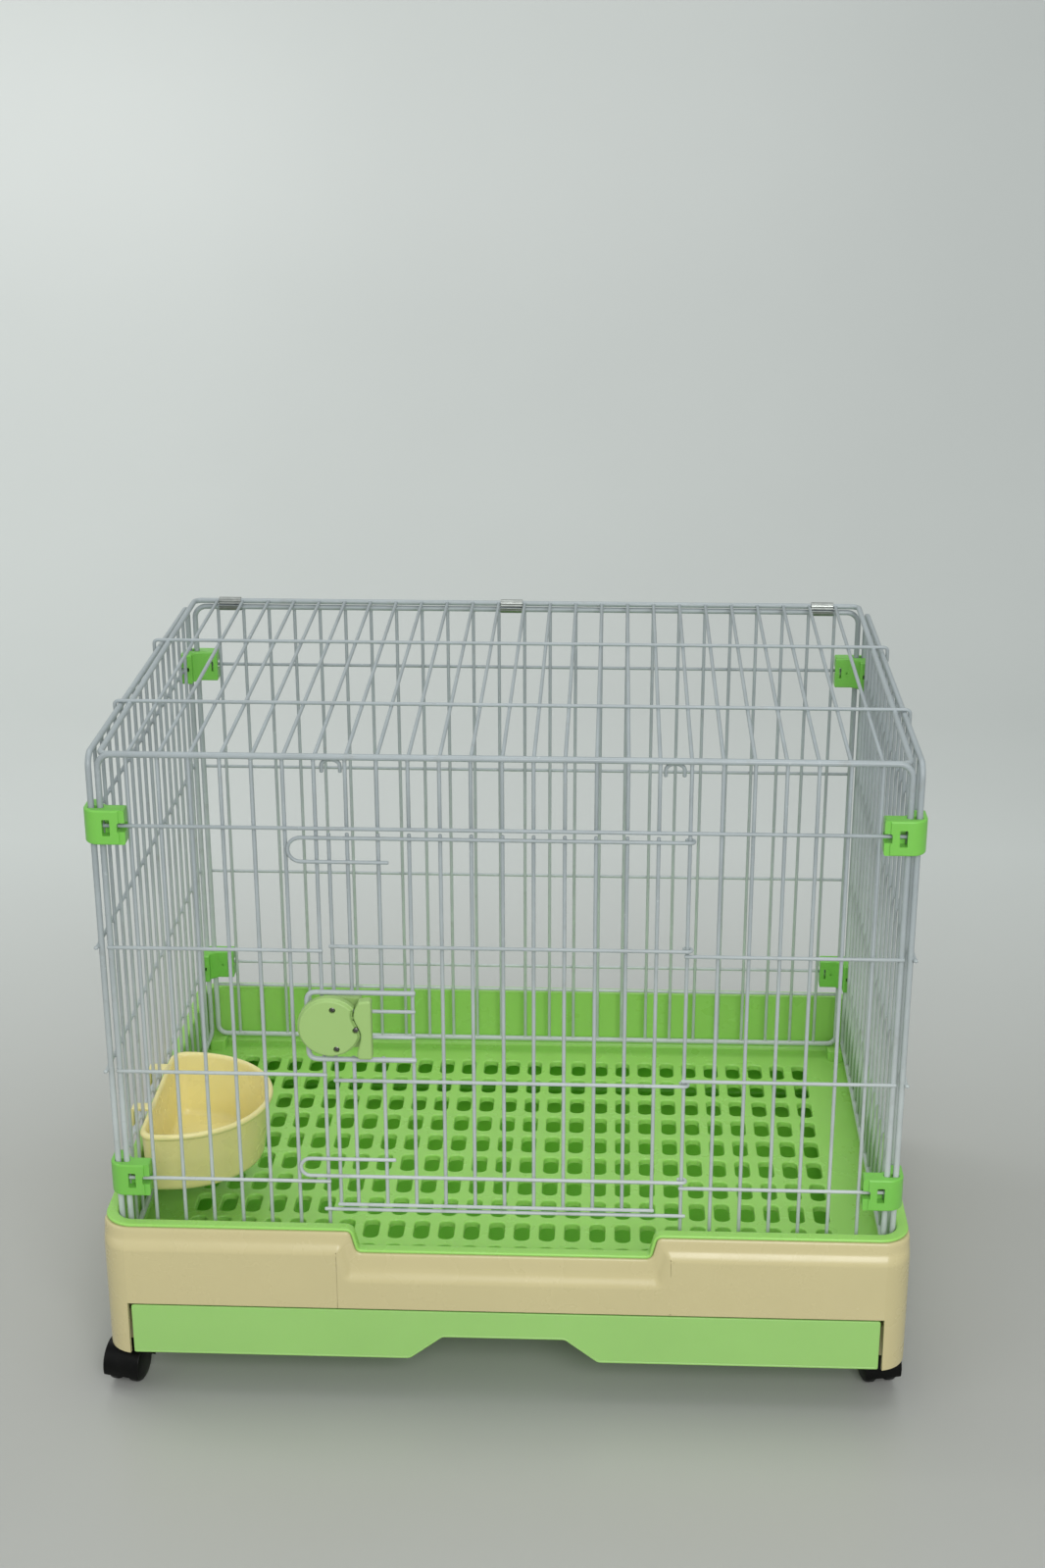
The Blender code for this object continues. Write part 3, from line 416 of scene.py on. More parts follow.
def slab(skin, outline, low, high, place, edge=0.0006, steps=3, back_edge=None):
    """Extrude an anticlockwise outline of (a, b) from low to high with both edges rounded."""
    back_edge = edge if back_edge is None else back_edge
    direction = 1 if high > low else -1
    bends = [pi / 2 * step / steps for step in range(steps + 1)]
    rows = [(back_edge * (1 - sin(t)), low + direction * back_edge * (1 - cos(t))) for t in bends]
    rows += [(edge * (1 - cos(t)), high - direction * edge * (1 - sin(t))) for t in bends]
    skin.loft([[place(a, b, c) for a, b in offset(outline, inset)] for inset, c in rows])


def lathe(skin, profile, matrix, steps=40):
    """Turn a closed profile of (radius, height) about the matrix's Z axis."""
    skin.loft([[matrix @ Vector((r * cos(a), r * sin(a), h)) for r, h in profile] for a in turns(steps)],
              ring_of_rings=True)


def spin(skin, profile, matrix, steps):
    """Turn an open profile of (radius, height) about the matrix's Z axis and close its two ends."""
    skin.loft([[matrix @ Vector((r * cos(a), r * sin(a), h)) for a in turns(steps)] for r, h in profile])


def new_object(name, skin, merge=False):
    """Make an object of a skin; merging joins points that meet and drops edges without a face."""
    mesh = bpy.data.meshes.new(name)
    mesh.from_pydata(skin.points, [], skin.faces)
    bm = bmesh.new()
    bm.from_mesh(mesh)
    if merge:
        bmesh.ops.remove_doubles(bm, verts=bm.verts, dist=0.00001)
        loose = [edge for edge in bm.edges if not edge.link_faces]
        bmesh.ops.delete(bm, geom=loose, context="EDGES")
    bmesh.ops.recalc_face_normals(bm, faces=bm.faces)
    bm.to_mesh(mesh)
    bm.free()
    thing = bpy.data.objects.new(name, mesh)
    bpy.context.scene.collection.objects.link(thing)
    return thing


def cut(thing, skins):
    """Take closed shapes out of a piece for good."""
    for i, skin in enumerate(skins):
        tool = new_object(f"{thing.name}_tool_{i}", skin)
        modifier = thing.modifiers.new("cut", "BOOLEAN")
        modifier.operation = "DIFFERENCE"
        modifier.solver = "EXACT"
        modifier.object = tool
        depsgraph = bpy.context.evaluated_depsgraph_get()
        mesh = bpy.data.meshes.new_from_object(thing.evaluated_get(depsgraph))
        thing.modifiers.clear()
        thing.data = mesh
        bpy.data.objects.remove(tool)


def dress(thing, material, body, nodes, crease=38, weighted=True):
    """Shade the piece, give it its material and put it in place of its CAD nodes."""
    mesh = thing.data
    mesh.materials.clear()
    mesh.materials.append(material)
    mesh.polygons.foreach_set("material_index", [0] * len(mesh.polygons))
    mesh.shade_smooth()
    mesh.set_sharp_from_angle(angle=radians(crease))
    if weighted:
        modifier = thing.modifiers.new("normals", "WEIGHTED_NORMAL")
        modifier.keep_sharp = True
    if body:
        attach(thing, body)
    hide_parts(*nodes)


def box_skin(low, high):
    """A plain box cutter between two corners."""
    skin = Skin()
    corners = [(x, y, z) for z in (low[2], high[2])
               for x, y in ((low[0], low[1]), (high[0], low[1]), (high[0], high[1]), (low[0], high[1]))]
    skin.loft([corners[:4], corners[4:]])
    return skin


def rod_skin(radius, start, end, sides=24):
    """A plain round cutter between two points."""
    skin = Skin()
    start, end = Vector(start), Vector(end)
    axis = (end - start).normalized()
    across = axis.orthogonal().normalized()
    up = axis.cross(across)
    skin.loft([[p + (across * cos(a) + up * sin(a)) * radius for a in turns(sides)] for p in (start, end)])
    return skin


# ---------------------------------------------------------------- materials
class Nodes:
    """Short way to add and join shader nodes."""

    def __init__(self, name):
        self.material = bpy.data.materials.new(name)
        self.material.use_nodes = True
        self.tree = self.material.node_tree
        self.shader = self.tree.nodes["Principled BSDF"]
        self.place = self.add("ShaderNodeTexCoord").outputs["Object"]

    def add(self, kind, **settings):
        node = self.tree.nodes.new(kind)
        for key, value in settings.items():
            setattr(node, key, value)
        return node

    def join(self, source, target):
        self.tree.links.new(source, target)

    def noise(self, scale, detail=3.0, roughness=0.55, stretch=None, distortion=0.0):
        place = self.place
        if stretch:
            mapping = self.add("ShaderNodeMapping")
            mapping.inputs["Scale"].default_value = stretch
            self.join(place, mapping.inputs["Vector"])
            place = mapping.outputs["Vector"]
        node = self.add("ShaderNodeTexNoise")
        values = {"Scale": scale, "Detail": detail, "Roughness": roughness, "Distortion": distortion}
        for key, value in values.items():
            node.inputs[key].default_value = value
        self.join(place, node.inputs["Vector"])
        return node.outputs["Fac"]

    def along(self, axis):
        """The place on the piece along X, Y or Z."""
        node = self.add("ShaderNodeSeparateXYZ")
        self.join(self.place, node.inputs[0])
        return node.outputs[axis]

    def set(self, **values):
        """Set the main shader's inputs by name, with _ for a blank."""
        for name, value in values.items():
            self.shader.inputs[name.replace("_", " ")].default_value = value

    def drive(self, name, source):
        """Let a socket decide one of the main shader's inputs."""
        self.join(source, self.shader.inputs[name])

    def spread(self, source, low, high, from_low=0.35, from_high=0.65):
        node = self.add("ShaderNodeMapRange", clamp=True)
        for key, value in zip(("From Min", "From Max", "To Min", "To Max"), (from_low, from_high, low, high)):
            node.inputs[key].default_value = value
        self.join(source, node.inputs["Value"])
        return node.outputs["Result"]

    def mix(self, factor, first, second):
        node = self.add("ShaderNodeMix", data_type="RGBA")
        self.join(factor, node.inputs[0])
        for value, socket in ((first, node.inputs[6]), (second, node.inputs[7])):
            if isinstance(value, tuple):
                socket.default_value = (*value, 1)
            else:
                self.join(value, socket)
        return node.outputs[2]

    def bump(self, height, strength, distance, under=None):
        node = self.add("ShaderNodeBump")
        node.inputs["Strength"].default_value = strength
        node.inputs["Distance"].default_value = distance
        self.join(height, node.inputs["Height"])
        if under is not None:
            self.join(under, node.inputs["Normal"])
        return node.outputs["Normal"]


DUST = (0.42, 0.40, 0.34)
WIRE_DUST = (0.27, 0.27, 0.24)
PAINTED_SHADE_HEIGHTS = (0.20, 0.42)            # heights between which painted shade makes the wires' coat darker
PAINTED_SHADE_BLEND = 0.004
PAINTED_LIGHT_BLEND = (0.10, 0.90)           # Y between which the floor's paper turns into the wall's, painted light that brightens the sheet towards the back


def shade(colour, factor):
    return tuple(min(1.0, c * factor) for c in colour)


def plastic(name, colour, deep, roughness=(0.26, 0.40), scuff=0.35, subsurface=0.0, inside=None):
    """Injection-moulded plastic: slow colour drift, fine orange peel, hairline scuffs and dust, and where
    asked a painted shade of deeper green behind a given Y.
    """
    nodes = Nodes(name)
    drift = nodes.spread(nodes.noise(14, 3), 0, 1, 0.3, 0.7)
    base = nodes.mix(drift, shade(colour, 0.975), shade(colour, 1.02))
    flow = nodes.spread(nodes.noise(5, 2, stretch=(1.0, 1.0, 7.0)), 0, 0.15, 0.45, 0.85)
    base = nodes.mix(flow, base, deep)
    hair = nodes.noise(60, 5, 0.7, stretch=(0.35, 6.0, 9.0), distortion=0.6)
    scratch = nodes.spread(hair, 0, scuff, 0.66, 0.72)
    base = nodes.mix(scratch, base, shade(colour, 1.25))
    dust = nodes.spread(nodes.noise(38, 6, 0.72), 0, 0.05, 0.58, 0.82)
    base = nodes.mix(dust, base, DUST)
    # painted shade: behind start_y the colour turns a deeper, more saturated green, standing in for the dim
    # green light bounced about inside the drawer
    if inside:
        painted_bounce_shade, start_y = inside
        depth = nodes.spread(nodes.along("Y"), 0, 1, start_y, start_y + PAINTED_SHADE_BLEND)
        base = nodes.mix(depth, base, painted_bounce_shade)
    nodes.drive("Base Color", base)
    cloud = nodes.spread(nodes.noise(24, 4), roughness[0], roughness[1])
    rough = nodes.add("ShaderNodeMath", operation="ADD")
    nodes.join(cloud, rough.inputs[0])
    nodes.join(scratch, rough.inputs[1])
    nodes.drive("Roughness", rough.outputs[0])
    peel = nodes.bump(nodes.noise(900, 2), 0.10, 0.00012)
    worn = nodes.bump(nodes.noise(130, 3), 0.05, 0.0003, peel)
    nodes.drive("Normal", worn)
    nodes.set(IOR=1.47)
    if subsurface:
        nodes.set(Subsurface_Weight=subsurface, Subsurface_Radius=shade(colour, 1.0), Subsurface_Scale=0.004)
    return nodes.material


def coated_wire(name, colour, upper):
    """Powder-coated wire: a faintly lumpy coat, paler near the floor and darker higher up through painted
    shade, with rubbed and dusty patches.
    """
    nodes = Nodes(name)
    drift = nodes.spread(nodes.noise(30, 4), 0, 1, 0.3, 0.7)
    # painted shade: between the two heights the coat turns into the darker upper colour
    up = nodes.spread(nodes.along("Z"), 0, 1, *PAINTED_SHADE_HEIGHTS)
    low_coat, painted_shade_coat = (nodes.mix(drift, shade(c, 0.90), shade(c, 1.05)) for c in (colour, upper))
    base = nodes.mix(up, low_coat, painted_shade_coat)
    dust = nodes.spread(nodes.noise(75, 5, 0.7), 0, 0.40, 0.58, 0.75)
    base = nodes.mix(dust, base, WIRE_DUST)
    rubbed = nodes.spread(nodes.noise(190, 4, 0.6), 0, 0.4, 0.68, 0.74)
    base = nodes.mix(rubbed, base, shade(colour, 1.22))
    nodes.drive("Base Color", base)
    nodes.drive("Roughness", nodes.spread(nodes.noise(60, 4), 0.30, 0.46))
    lumps = nodes.bump(nodes.noise(260, 3), 0.25, 0.0003)
    grain = nodes.bump(nodes.noise(1500, 2), 0.12, 0.00008, lumps)
    nodes.drive("Normal", grain)
    return nodes.material


def metal(name, colour, roughness, stretch):
    """Bright plated steel with fine drawing lines and dull spots."""
    nodes = Nodes(name)
    spots = nodes.spread(nodes.noise(160, 4, 0.65), 0, 1, 0.35, 0.75)
    nodes.drive("Base Color", nodes.mix(spots, colour, shade(colour, 0.72)))
    nodes.set(Metallic=1.0)
    lines = nodes.noise(700, 3, 0.6, stretch=stretch)
    nodes.drive("Roughness", nodes.spread(lines, roughness, roughness + 0.16))
    nodes.drive("Normal", nodes.bump(lines, 0.25, 0.0001))
    return nodes.material


def black_plastic(name):
    """Black caster plastic, greyed by dust and rolling scuffs."""
    nodes = Nodes(name)
    dust = nodes.spread(nodes.noise(120, 6, 0.7), 0, 0.25, 0.52, 0.80)
    base = nodes.mix(dust, (0.0022, 0.0024, 0.0020), (0.020, 0.019, 0.016))
    nodes.drive("Base Color", base)
    nodes.drive("Roughness", nodes.spread(nodes.noise(90, 4), 0.28, 0.45))
    nodes.drive("Normal", nodes.bump(nodes.noise(500, 3), 0.2, 0.0002))
    nodes.set(Specular_IOR_Level=0.16)
    return nodes.material


CREAM = plastic("cream_plastic", (0.61, 0.535, 0.285), (0.585, 0.508, 0.255), (0.22, 0.32), 0.05)
GREEN = plastic("green_plastic", (0.34, 0.67, 0.14), (0.28, 0.62, 0.105), (0.24, 0.36), 0.15, 0.15)
# the drawer's second colour is painted shade inside the drawer, behind Y -0.200
DRAWER_GREEN = plastic("drawer_plastic", (0.34, 0.62, 0.175), (0.31, 0.59, 0.15), (0.34, 0.48), 0.12,
                       0.10, inside=((0.26, 0.72, 0.06), -0.200))
CLIP_GREEN = plastic("clip_plastic", (0.20, 0.56, 0.085), (0.16, 0.50, 0.06), (0.30, 0.42), 0.15, 0.10)
PALE_GREEN = plastic("latch_plastic", (0.36, 0.55, 0.185), (0.32, 0.51, 0.15), (0.38, 0.52), 0.15)
BOWL_YELLOW = plastic("bowl_plastic", (0.83, 0.745, 0.345), (0.79, 0.69, 0.28), (0.22, 0.34), 0.12, 0.20)
# the second colour is painted shade for the upper wires
WIRE = coated_wire("coated_wire", (0.52, 0.57, 0.555), (0.35, 0.395, 0.405))
STEEL = metal("plated_steel", (0.34, 0.36, 0.34), 0.28, (1.0, 9.0, 9.0))
SCREW_STEEL = metal("dark_screw_steel", (0.22, 0.22, 0.20), 0.30, (6.0, 1.0, 6.0))
BLACK = black_plastic("caster_plastic")


# ---------------------------------------------------------------- panels
def front_map(u, v, w=0.0):
    return (u, -CAGE_HALF_Y - w, v)


def back_map(u, v, w=0.0):
    return (u, CAGE_HALF_Y + w, v)


def side_map(side):
    return lambda u, v, w=0.0: (side * (SIDE_X + w), u, v)


def wire_x(i):
    """X of inner wire i, counted from 1 at the left."""
    return (i - (INNER_WIRES + 1) / 2) * PITCH


def frame_loop(place, half_u, low, high, foot_r):
    middle = (low + high) / 2
    outline = rounded_outline(half_u, (high - low) / 2, CORNER_R, 8, foot_r)
    return [place(u, middle + v) for u, v in outline]


def weld(skin, place, u, v, w=LAYER / 2, size=0.00155, depth=0.00115):
    """A lump of coating between two wires that cross."""
    centre = Vector(place(u, v, w))
    outward = Vector(place(u, v, w + 1)) - centre
    radii = [size + (depth - size) * abs(c) for c in outward]
    ball(skin, centre, radii)


def panel(name, place, half_u, low, high, uprights, crosses, foot_r=FOOT_R):
    """A welded grille: frame, uprights in its plane and cross wires on their outside."""
    skin = Skin()
    tube(skin, frame_loop(place, half_u, low, high, foot_r), THICK, 14, closed=True)
    for u, a, b in uprights:
        tube(skin, [place(u, a), place(u, b)], THIN)
        for end in (a, b):
            if end in (low, high):
                inward = 0.0021 if end == low else -0.0021
                weld(skin, place, u, end + inward, 0, 0.0017, 0.0017)
    for row in crosses:
        route = fillet([place(*point) for point in row], 0.0025)
        tube(skin, route, THIN)
        (u0, v0, _), (u1, v1, _) = row[0], row[-1]
        if v0 == v1:
            for u, a, b in uprights:
                if min(u0, u1) - THIN <= u <= max(u0, u1) + THIN and a - THIN <= v0 <= b:
                    weld(skin, place, u, v0)
            for u in (-half_u, half_u):
                if min(u0, u1) - THIN <= u <= max(u0, u1) + THIN:
                    weld(skin, place, u, v0, THICK * 0.7, 0.0020, 0.0014)
    thing = new_object(name + "_wires", skin)
    dress(thing, WIRE, "cage", [name], weighted=False)


def front_panel():
    first = (INNER_WIRES + 1) // 2 - DOOR_WIRES // 2
    uprights = []
    for i in range(1, INNER_WIRES + 1):
        over_door = first <= i < first + DOOR_WIRES
        uprights.append((wire_x(i), CLIP_ROWS[0] - THIN if over_door else FOOT_Z, TOP_Z))
    end = CAGE_HALF_X + THIN
    crosses = [[(-end, CLIP_ROWS[0], LAYER), (end, CLIP_ROWS[0], LAYER)]]
    for z in (*STUB_ROWS, CLIP_ROWS[1]):
        for side in (-1, 1):
            crosses.append([(side * end, z, LAYER), (side * (DOOR_AXIS.x - THIN), z, LAYER)])
    sill = DOOR_AXIS.x + 2 * THIN
    crosses.append([(-sill, SILL_Z, LAYER), (sill, SILL_Z, LAYER)])
    panel("front_panel", front_map, CAGE_HALF_X, FOOT_Z, TOP_Z, uprights, crosses)


def back_panel():
    uprights = [(wire_x(i), FOOT_Z, TOP_Z) for i in range(1, INNER_WIRES + 1)]
    end = CAGE_HALF_X + THIN
    crosses = [[(-end, z, LAYER), (end, z, LAYER)] for z in (*CLIP_ROWS, *STUB_ROWS, SILL_Z)]
    panel("back_panel", back_map, CAGE_HALF_X, FOOT_Z, TOP_Z, uprights, crosses, 0.8 * CORNER_R)


def side_panel(name, side):
    uprights = []
    for i in range(1, SIDE_SPACES):
        uprights.append((i * SIDE_PITCH - CAGE_HALF_Y, FOOT_Z, SIDE_TOP_Z))
    end = CAGE_HALF_Y + THIN
    crosses = [[(-end, z, LAYER), (end, z, LAYER)] for z in CLIP_ROWS]
    ear = CAGE_HALF_Y + 0.004
    for z in STUB_ROWS:
        tip = LAYER + 0.0012
        crosses.append([(-ear, z, tip), (-ear, z, LAYER), (ear, z, LAYER), (ear, z, tip)])
    panel(name, side_map(side), CAGE_HALF_Y, FOOT_Z, SIDE_TOP_Z, uprights, crosses)


def lid_map():
    """Maps the flat lid, measured from its hinge wire, onto its slightly tipped place."""
    tip = asin(LID_DROP / LID_LENGTH)
    tilt = Matrix.Translation(LID_AXIS) @ Matrix.Rotation(tip, 4, "X")
    return lambda u, v, w=0.0: tuple(tilt @ Vector((u, -v, w)))


def lid():
    place = lid_map()
    skin = Skin()
    outline = rounded_outline(LID_HALF_X, LID_LENGTH / 2, 0.006, 6)
    tube(skin, [place(u, LID_LENGTH / 2 + v) for u, v in outline], THICK, 14, closed=True)
    for i in range(1, INNER_WIRES + 1):
        tube(skin, [place(wire_x(i), 0), place(wire_x(i), LID_LENGTH)], THIN)
        for v in (0.0021, LID_LENGTH - 0.0021):
            weld(skin, place, wire_x(i), v, 0, 0.0017, 0.0017)
    for v in LID_CROSS:
        half = [(LID_HOOK_X, v, -LID_HOOK_DROP), (LID_HOOK_X, v, LAYER)]
        row = [(-half[0][0], *half[0][1:]), (-half[1][0], *half[1][1:]), half[1], half[0]]
        tube(skin, fillet([place(*p) for p in row], 0.0035), THIN)
        for i in range(1, INNER_WIRES + 1):
            weld(skin, place, wire_x(i), v)
        for side in (-1, 1):
            weld(skin, place, side * LID_HALF_X, v, THICK * 0.7, 0.0024, 0.0016)
    for side in (-1, 1):
        crown = [(side * LID_CATCH_X + 0.0065 * a, LID_LENGTH, 0.0045 * b - 0.0065)
                 for a, b in arc((0, 0), 1.0, pi, 0, 10)]
        legs = [(u, v, w - 0.0045) for u, v, w in (crown[0], crown[-1])]
        tube(skin, [place(*p) for p in (legs[0], *crown, legs[1])], THIN)
        weld(skin, place, side * LID_CATCH_X, LID_LENGTH, -0.0021, 0.0020, 0.0014)
    dress(new_object("lid_wires", skin), WIRE, "lid", ["lid"], weighted=False)


# ---------------------------------------------------------------- door
def eye(z, start_x):
    """A row that runs from start_x to the hinge upright and curls round it."""
    curl = arc((DOOR_AXIS.x, -CAGE_HALF_Y), EYE_R, -pi / 2, pi * 0.78, 14)
    return [(start_x, -CAGE_HALF_Y - EYE_R, z)] + [(x, y, z) for x, y in curl]


def stop_hook(z, tail_z):
    """A row that runs left past the doorway, turns back and ends in a tail."""
    radius = (tail_z - z) / 2
    y = -CAGE_HALF_Y - LAYER
    turn = []
    for step in range(15):
        angle = -pi / 2 - step * pi / 14
        turn.append((-HOOK_X + abs(radius) * (1 + cos(angle)), y, z + radius + radius * sin(angle)))
    return turn + [(HOOK_TAIL_X, y, tail_z)]


def door():
    y_row = -CAGE_HALF_Y - LAYER
    columns = [DOOR_LEFT_X] + [(k - DOOR_WIRES // 2) * PITCH for k in range(DOOR_WIRES)]
    top, upper, lower, hook_row, foot = DOOR_ROWS
    skin = Skin()
    for x in columns:
        inside_loop = x < columns[2] + THIN and x < -DOOR_AXIS.x + 2.5 * PITCH
        spans = [(DOOR_SPAN[0], LOOP_ROWS[1]), (LOOP_ROWS[0], DOOR_SPAN[1])] if inside_loop else [DOOR_SPAN]
        for low, high in spans:
            tube(skin, [(x, -CAGE_HALF_Y, low), (x, -CAGE_HALF_Y, high)], THIN)
        for row in DOOR_ROWS:
            weld(skin, front_map, x, row)
    tube(skin, stop_hook(top, top - 0.0182)[::-1] + eye(top, 0.11)[1:], THIN)
    tube(skin, stop_hook(hook_row, hook_row + 0.0145)[::-1] + eye(hook_row, 0.11)[1:], THIN)
    for row in (upper, lower):
        tube(skin, eye(row, DOOR_LEFT_X - THIN), THIN)
    tube(skin, [(DOOR_LEFT_X - THIN, y_row, foot), (columns[-1] + THIN, y_row, foot)], THIN)
    right = columns[3]
    loop = fillet([(right + THIN, LOOP_Y, LOOP_ROWS[0]), (LOOP_X, LOOP_Y, LOOP_ROWS[0]),
                   (LOOP_X, LOOP_Y, LOOP_ROWS[1]), (right + THIN, LOOP_Y, LOOP_ROWS[1])], 0.007, 8)
    tube(skin, loop, LOOP, 12)
    for z in MID_ROWS:
        tube(skin, [(LATCH_C[0] + 0.009, y_row, z), (right + THIN, y_row, z)], THIN)
        weld(skin, front_map, right, z)
    for x in columns[:4]:
        for z in LOOP_ROWS:
            weld(skin, front_map, x, z, 0.0017, 0.0021, 0.0014)
    dress(new_object("door_wires", skin), WIRE, "door", ["door"], weighted=False)


# ---------------------------------------------------------------- latch
def latch_edge(shift=0.0, steps=44):
    """The wavy line between the round cover and the slider, from the slider's top to its bottom."""
    points = []
    for step in range(steps + 1):
        t = step / steps
        swing = WAVE_SWING[0] if t < WAVE_TURN else WAVE_SWING[1]
        reach = WAVE_REACH + swing * (1 + cos(2 * pi * (t - WAVE_START) / WAVE_LENGTH))
        points.append((SLIDER_HIGH.x - reach + shift, SLIDER_HIGH.z + (SLIDER_LOW.z - SLIDER_HIGH.z) * t))
    return points


def stepped(skin, outline, back, front, rows):
    """Skin an outline through (inset, distance behind the front face) rows, back row first."""
    levels = [(0.0004, back)] + [(inset, front + depth) for inset, depth in rows]
    skin.loft([[upright_map(a, b, c) for a, b in offset(outline, inset)] for inset, c in levels])


def round_rows(inset, depth, radius, steps=4):
    """Rows of a rounded edge that starts at an inset and ends flat on the given depth."""
    bends = [pi / 2 * step / steps for step in range(steps + 1)]
    return [(inset + radius * (1 - cos(t)), depth + radius * (1 - sin(t))) for t in bends]


def latch():
    """The round cover, the thumb slider, what they hold and the three screws."""
    wave = [p for p in latch_edge(-0.0009) if (Vector(p) - Vector(LATCH_C)).length < LATCH_R - 0.0006]
    start, end = [atan2(p[1] - LATCH_C[1], p[0] - LATCH_C[0]) for p in (wave[0], wave[-1])]
    outline = arc(LATCH_C, LATCH_R, start + 0.03, 2 * pi + end - 0.03, 56) + wave[::-1]
    cover = Skin()
    rows = [(0.0, COVER_DEEP)] + round_rows(0.0, 0.0026, 0.0006, 3) + round_rows(0.0013, 0.0, 0.0012, 5)
    stepped(cover, outline, COVER_HIGH.y, COVER_LOW.y, rows)
    cover = new_object("latch_round_cover", cover)
    deep = COVER_HIGH.y + 0.001
    tools = [box_skin((POCKET_X, COVER_LOW.y + 0.0012, ARM_Z - POCKET_HALF),
                      (COLLAR_X, deep, ARM_Z + POCKET_HALF)),
             box_skin((COLLAR_X - 0.001, COVER_LOW.y + SCREW_SEAT, ARM_Z - ARM_HALF),
                      (SLIDER_HIGH.x, deep, ARM_Z + ARM_HALF))]
    for x, z in SCREWS:
        inner, outer = SCREW_SPAN
        tools.append(rod_skin(SCREW_BORE, (x, inner, z), (x, outer, z), 16))
        tools.append(rod_skin(SCREW_SINK, (x, COVER_LOW.y + SCREW_SEAT, z), (x, outer, z), 28))
    cut(cover, tools)
    dress(cover, PALE_GREEN, "door", ["latch_front_cover"])

    thumb = Skin()
    wave = latch_edge()[1:-3]
    big, small = 0.0024, 0.0018
    right = arc((wave[-1][0] + big, SLIDER_LOW.z + big), big, pi * 1.04, pi * 1.5, 6)
    right += arc((SLIDER_HIGH.x - small, SLIDER_LOW.z + small), small, -pi / 2, 0, 5)
    right += arc((SLIDER_HIGH.x - big, SLIDER_HIGH.z - big), big, 0, pi / 2, 6)
    rows = [(0.0, COVER_DEEP)] + round_rows(0.0, 0.0, small, 5)
    stepped(thumb, wave + right, COVER_HIGH.y, COVER_LOW.y, rows)
    add_slider_inside(thumb)
    thumb = new_object("latch_thumb_slider", thumb)
    dress(thumb, PALE_GREEN, "slider", ["latch_slider"])
    latch_inner_cover()
    latch_spring()
    for i, (x, z) in enumerate(SCREWS, 1):
        screw(i, x, z)


def add_slider_inside(skin):
    """The slider's arm and stop behind the cover, and the neck and tongue behind the wires."""
    tail = POCKET_X + 0.0005
    near, far = COVER_LOW.y, COVER_HIGH.y
    blocks = (
        ((tail + 0.001, near + 0.0037, ARM_Z - 0.0011), (-0.0985, far - 0.0021, ARM_Z + 0.0011)),
        ((tail, near + 0.0017, ARM_Z - 0.0037), (tail + 0.0018, far, ARM_Z + 0.0037)),
        ((-0.1020, far - 0.002, TONGUE_Z - 0.003), (-0.0960, SLIDER_HIGH.y, TONGUE_Z + 0.003)),
        ((TONGUE_TIP, -0.1848, TONGUE_Z - 0.0028), (-0.0965, -0.1825, TONGUE_Z + 0.0028)),
    )
    for low, high in blocks:
        outline = rounded_outline_at(low[0], high[0], low[2], high[2], 0.0005, 3)
        slab(skin, outline, high[1], low[1], upright_map, 0.0003, 2)


def latch_inner_cover():
    """The plate behind the door's wires, with its screw bosses and the tunnel for the tongue."""
    skin = Skin()
    outline = rounded_outline_at(INNER_LOW.x, INNER_HIGH.x, INNER_LOW.z, INNER_HIGH.z, 0.003, 6)
    slab(skin, outline, -0.1876, INNER_HIGH.y, upright_map, 0.0010, 4, 0.0003)
    plate = new_object("latch_inner_plate", skin)
    cut(plate, [box_skin((-0.14, -0.1852, 0.3063), (-0.09, -0.1820, 0.3127))])
    bosses = Skin()
    bosses.add([v.co for v in plate.data.vertices], [f.vertices for f in plate.data.polygons])
    bpy.data.objects.remove(plate)
    boss_low, boss_r = -0.1865, 0.0024
    profile = [(SCREW_BORE, boss_low), (boss_r, boss_low), (boss_r, COVER_HIGH.y + 0.0005),
               (0.0022, COVER_HIGH.y + GAP), (SCREW_BORE, COVER_HIGH.y + GAP)]
    for x, z in SCREWS:
        lathe(bosses, profile, Matrix.Translation((x, 0, z)) @ Matrix.Rotation(radians(-90), 4, "X"), 20)
    plate = new_object("latch_inner_cover", bosses)
    dress(plate, PALE_GREEN, "door", ["latch_back_cover"])


def latch_spring():
    """The coil that is pressed between the slider's stop and the cover's collar."""
    spring = Skin()
    left = POCKET_X + 0.0023
    middle_y = (COVER_LOW.y + COVER_HIGH.y) / 2 + 0.0008
    route = []
    steps = SPRING_TURNS * 16
    for step in range(steps + 1):
        angle = step * pi / 8
        x = left + 0.0007 + (COLLAR_X - left - 0.0014) * step / steps
        route.append((x, middle_y + SPRING_R[0] * cos(angle), ARM_Z + SPRING_R[1] * sin(angle)))
    tube(spring, route, SPRING_WIRE, 8)
    coil = new_object("latch_coil_spring", spring)
    dress(coil, STEEL, None, ["latch_spring"], weighted=False)
    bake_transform(coil)


def screw(index, x, z):
    """A pan-head screw with a cross recess, sunk in the round cover."""
    turned = Matrix.Translation((x, 0, z)) @ Matrix.Rotation(radians(90), 4, "X")
    skin = Skin()
    spin(skin, SCREW_PROFILE, turned, 20)
    thing = new_object(f"latch_cross_screw_{index}", skin)
    slots = []
    for turn in (35, 125):
        place = turned @ Matrix.Rotation(radians(turn), 4, "Z")
        bar = [(a * CROSS_HALF[0], b * CROSS_HALF[1]) for a, b in ((1, 1), (-1, 1), (-1, -1), (1, -1))]
        slots.append(Skin())
        slots[-1].loft([[place @ Vector((a, b, h)) for a, b in bar] for h in CROSS_SPAN])
    cut(thing, slots)
    dress(thing, SCREW_STEEL, "door", [f"latch_screw_{index}"])


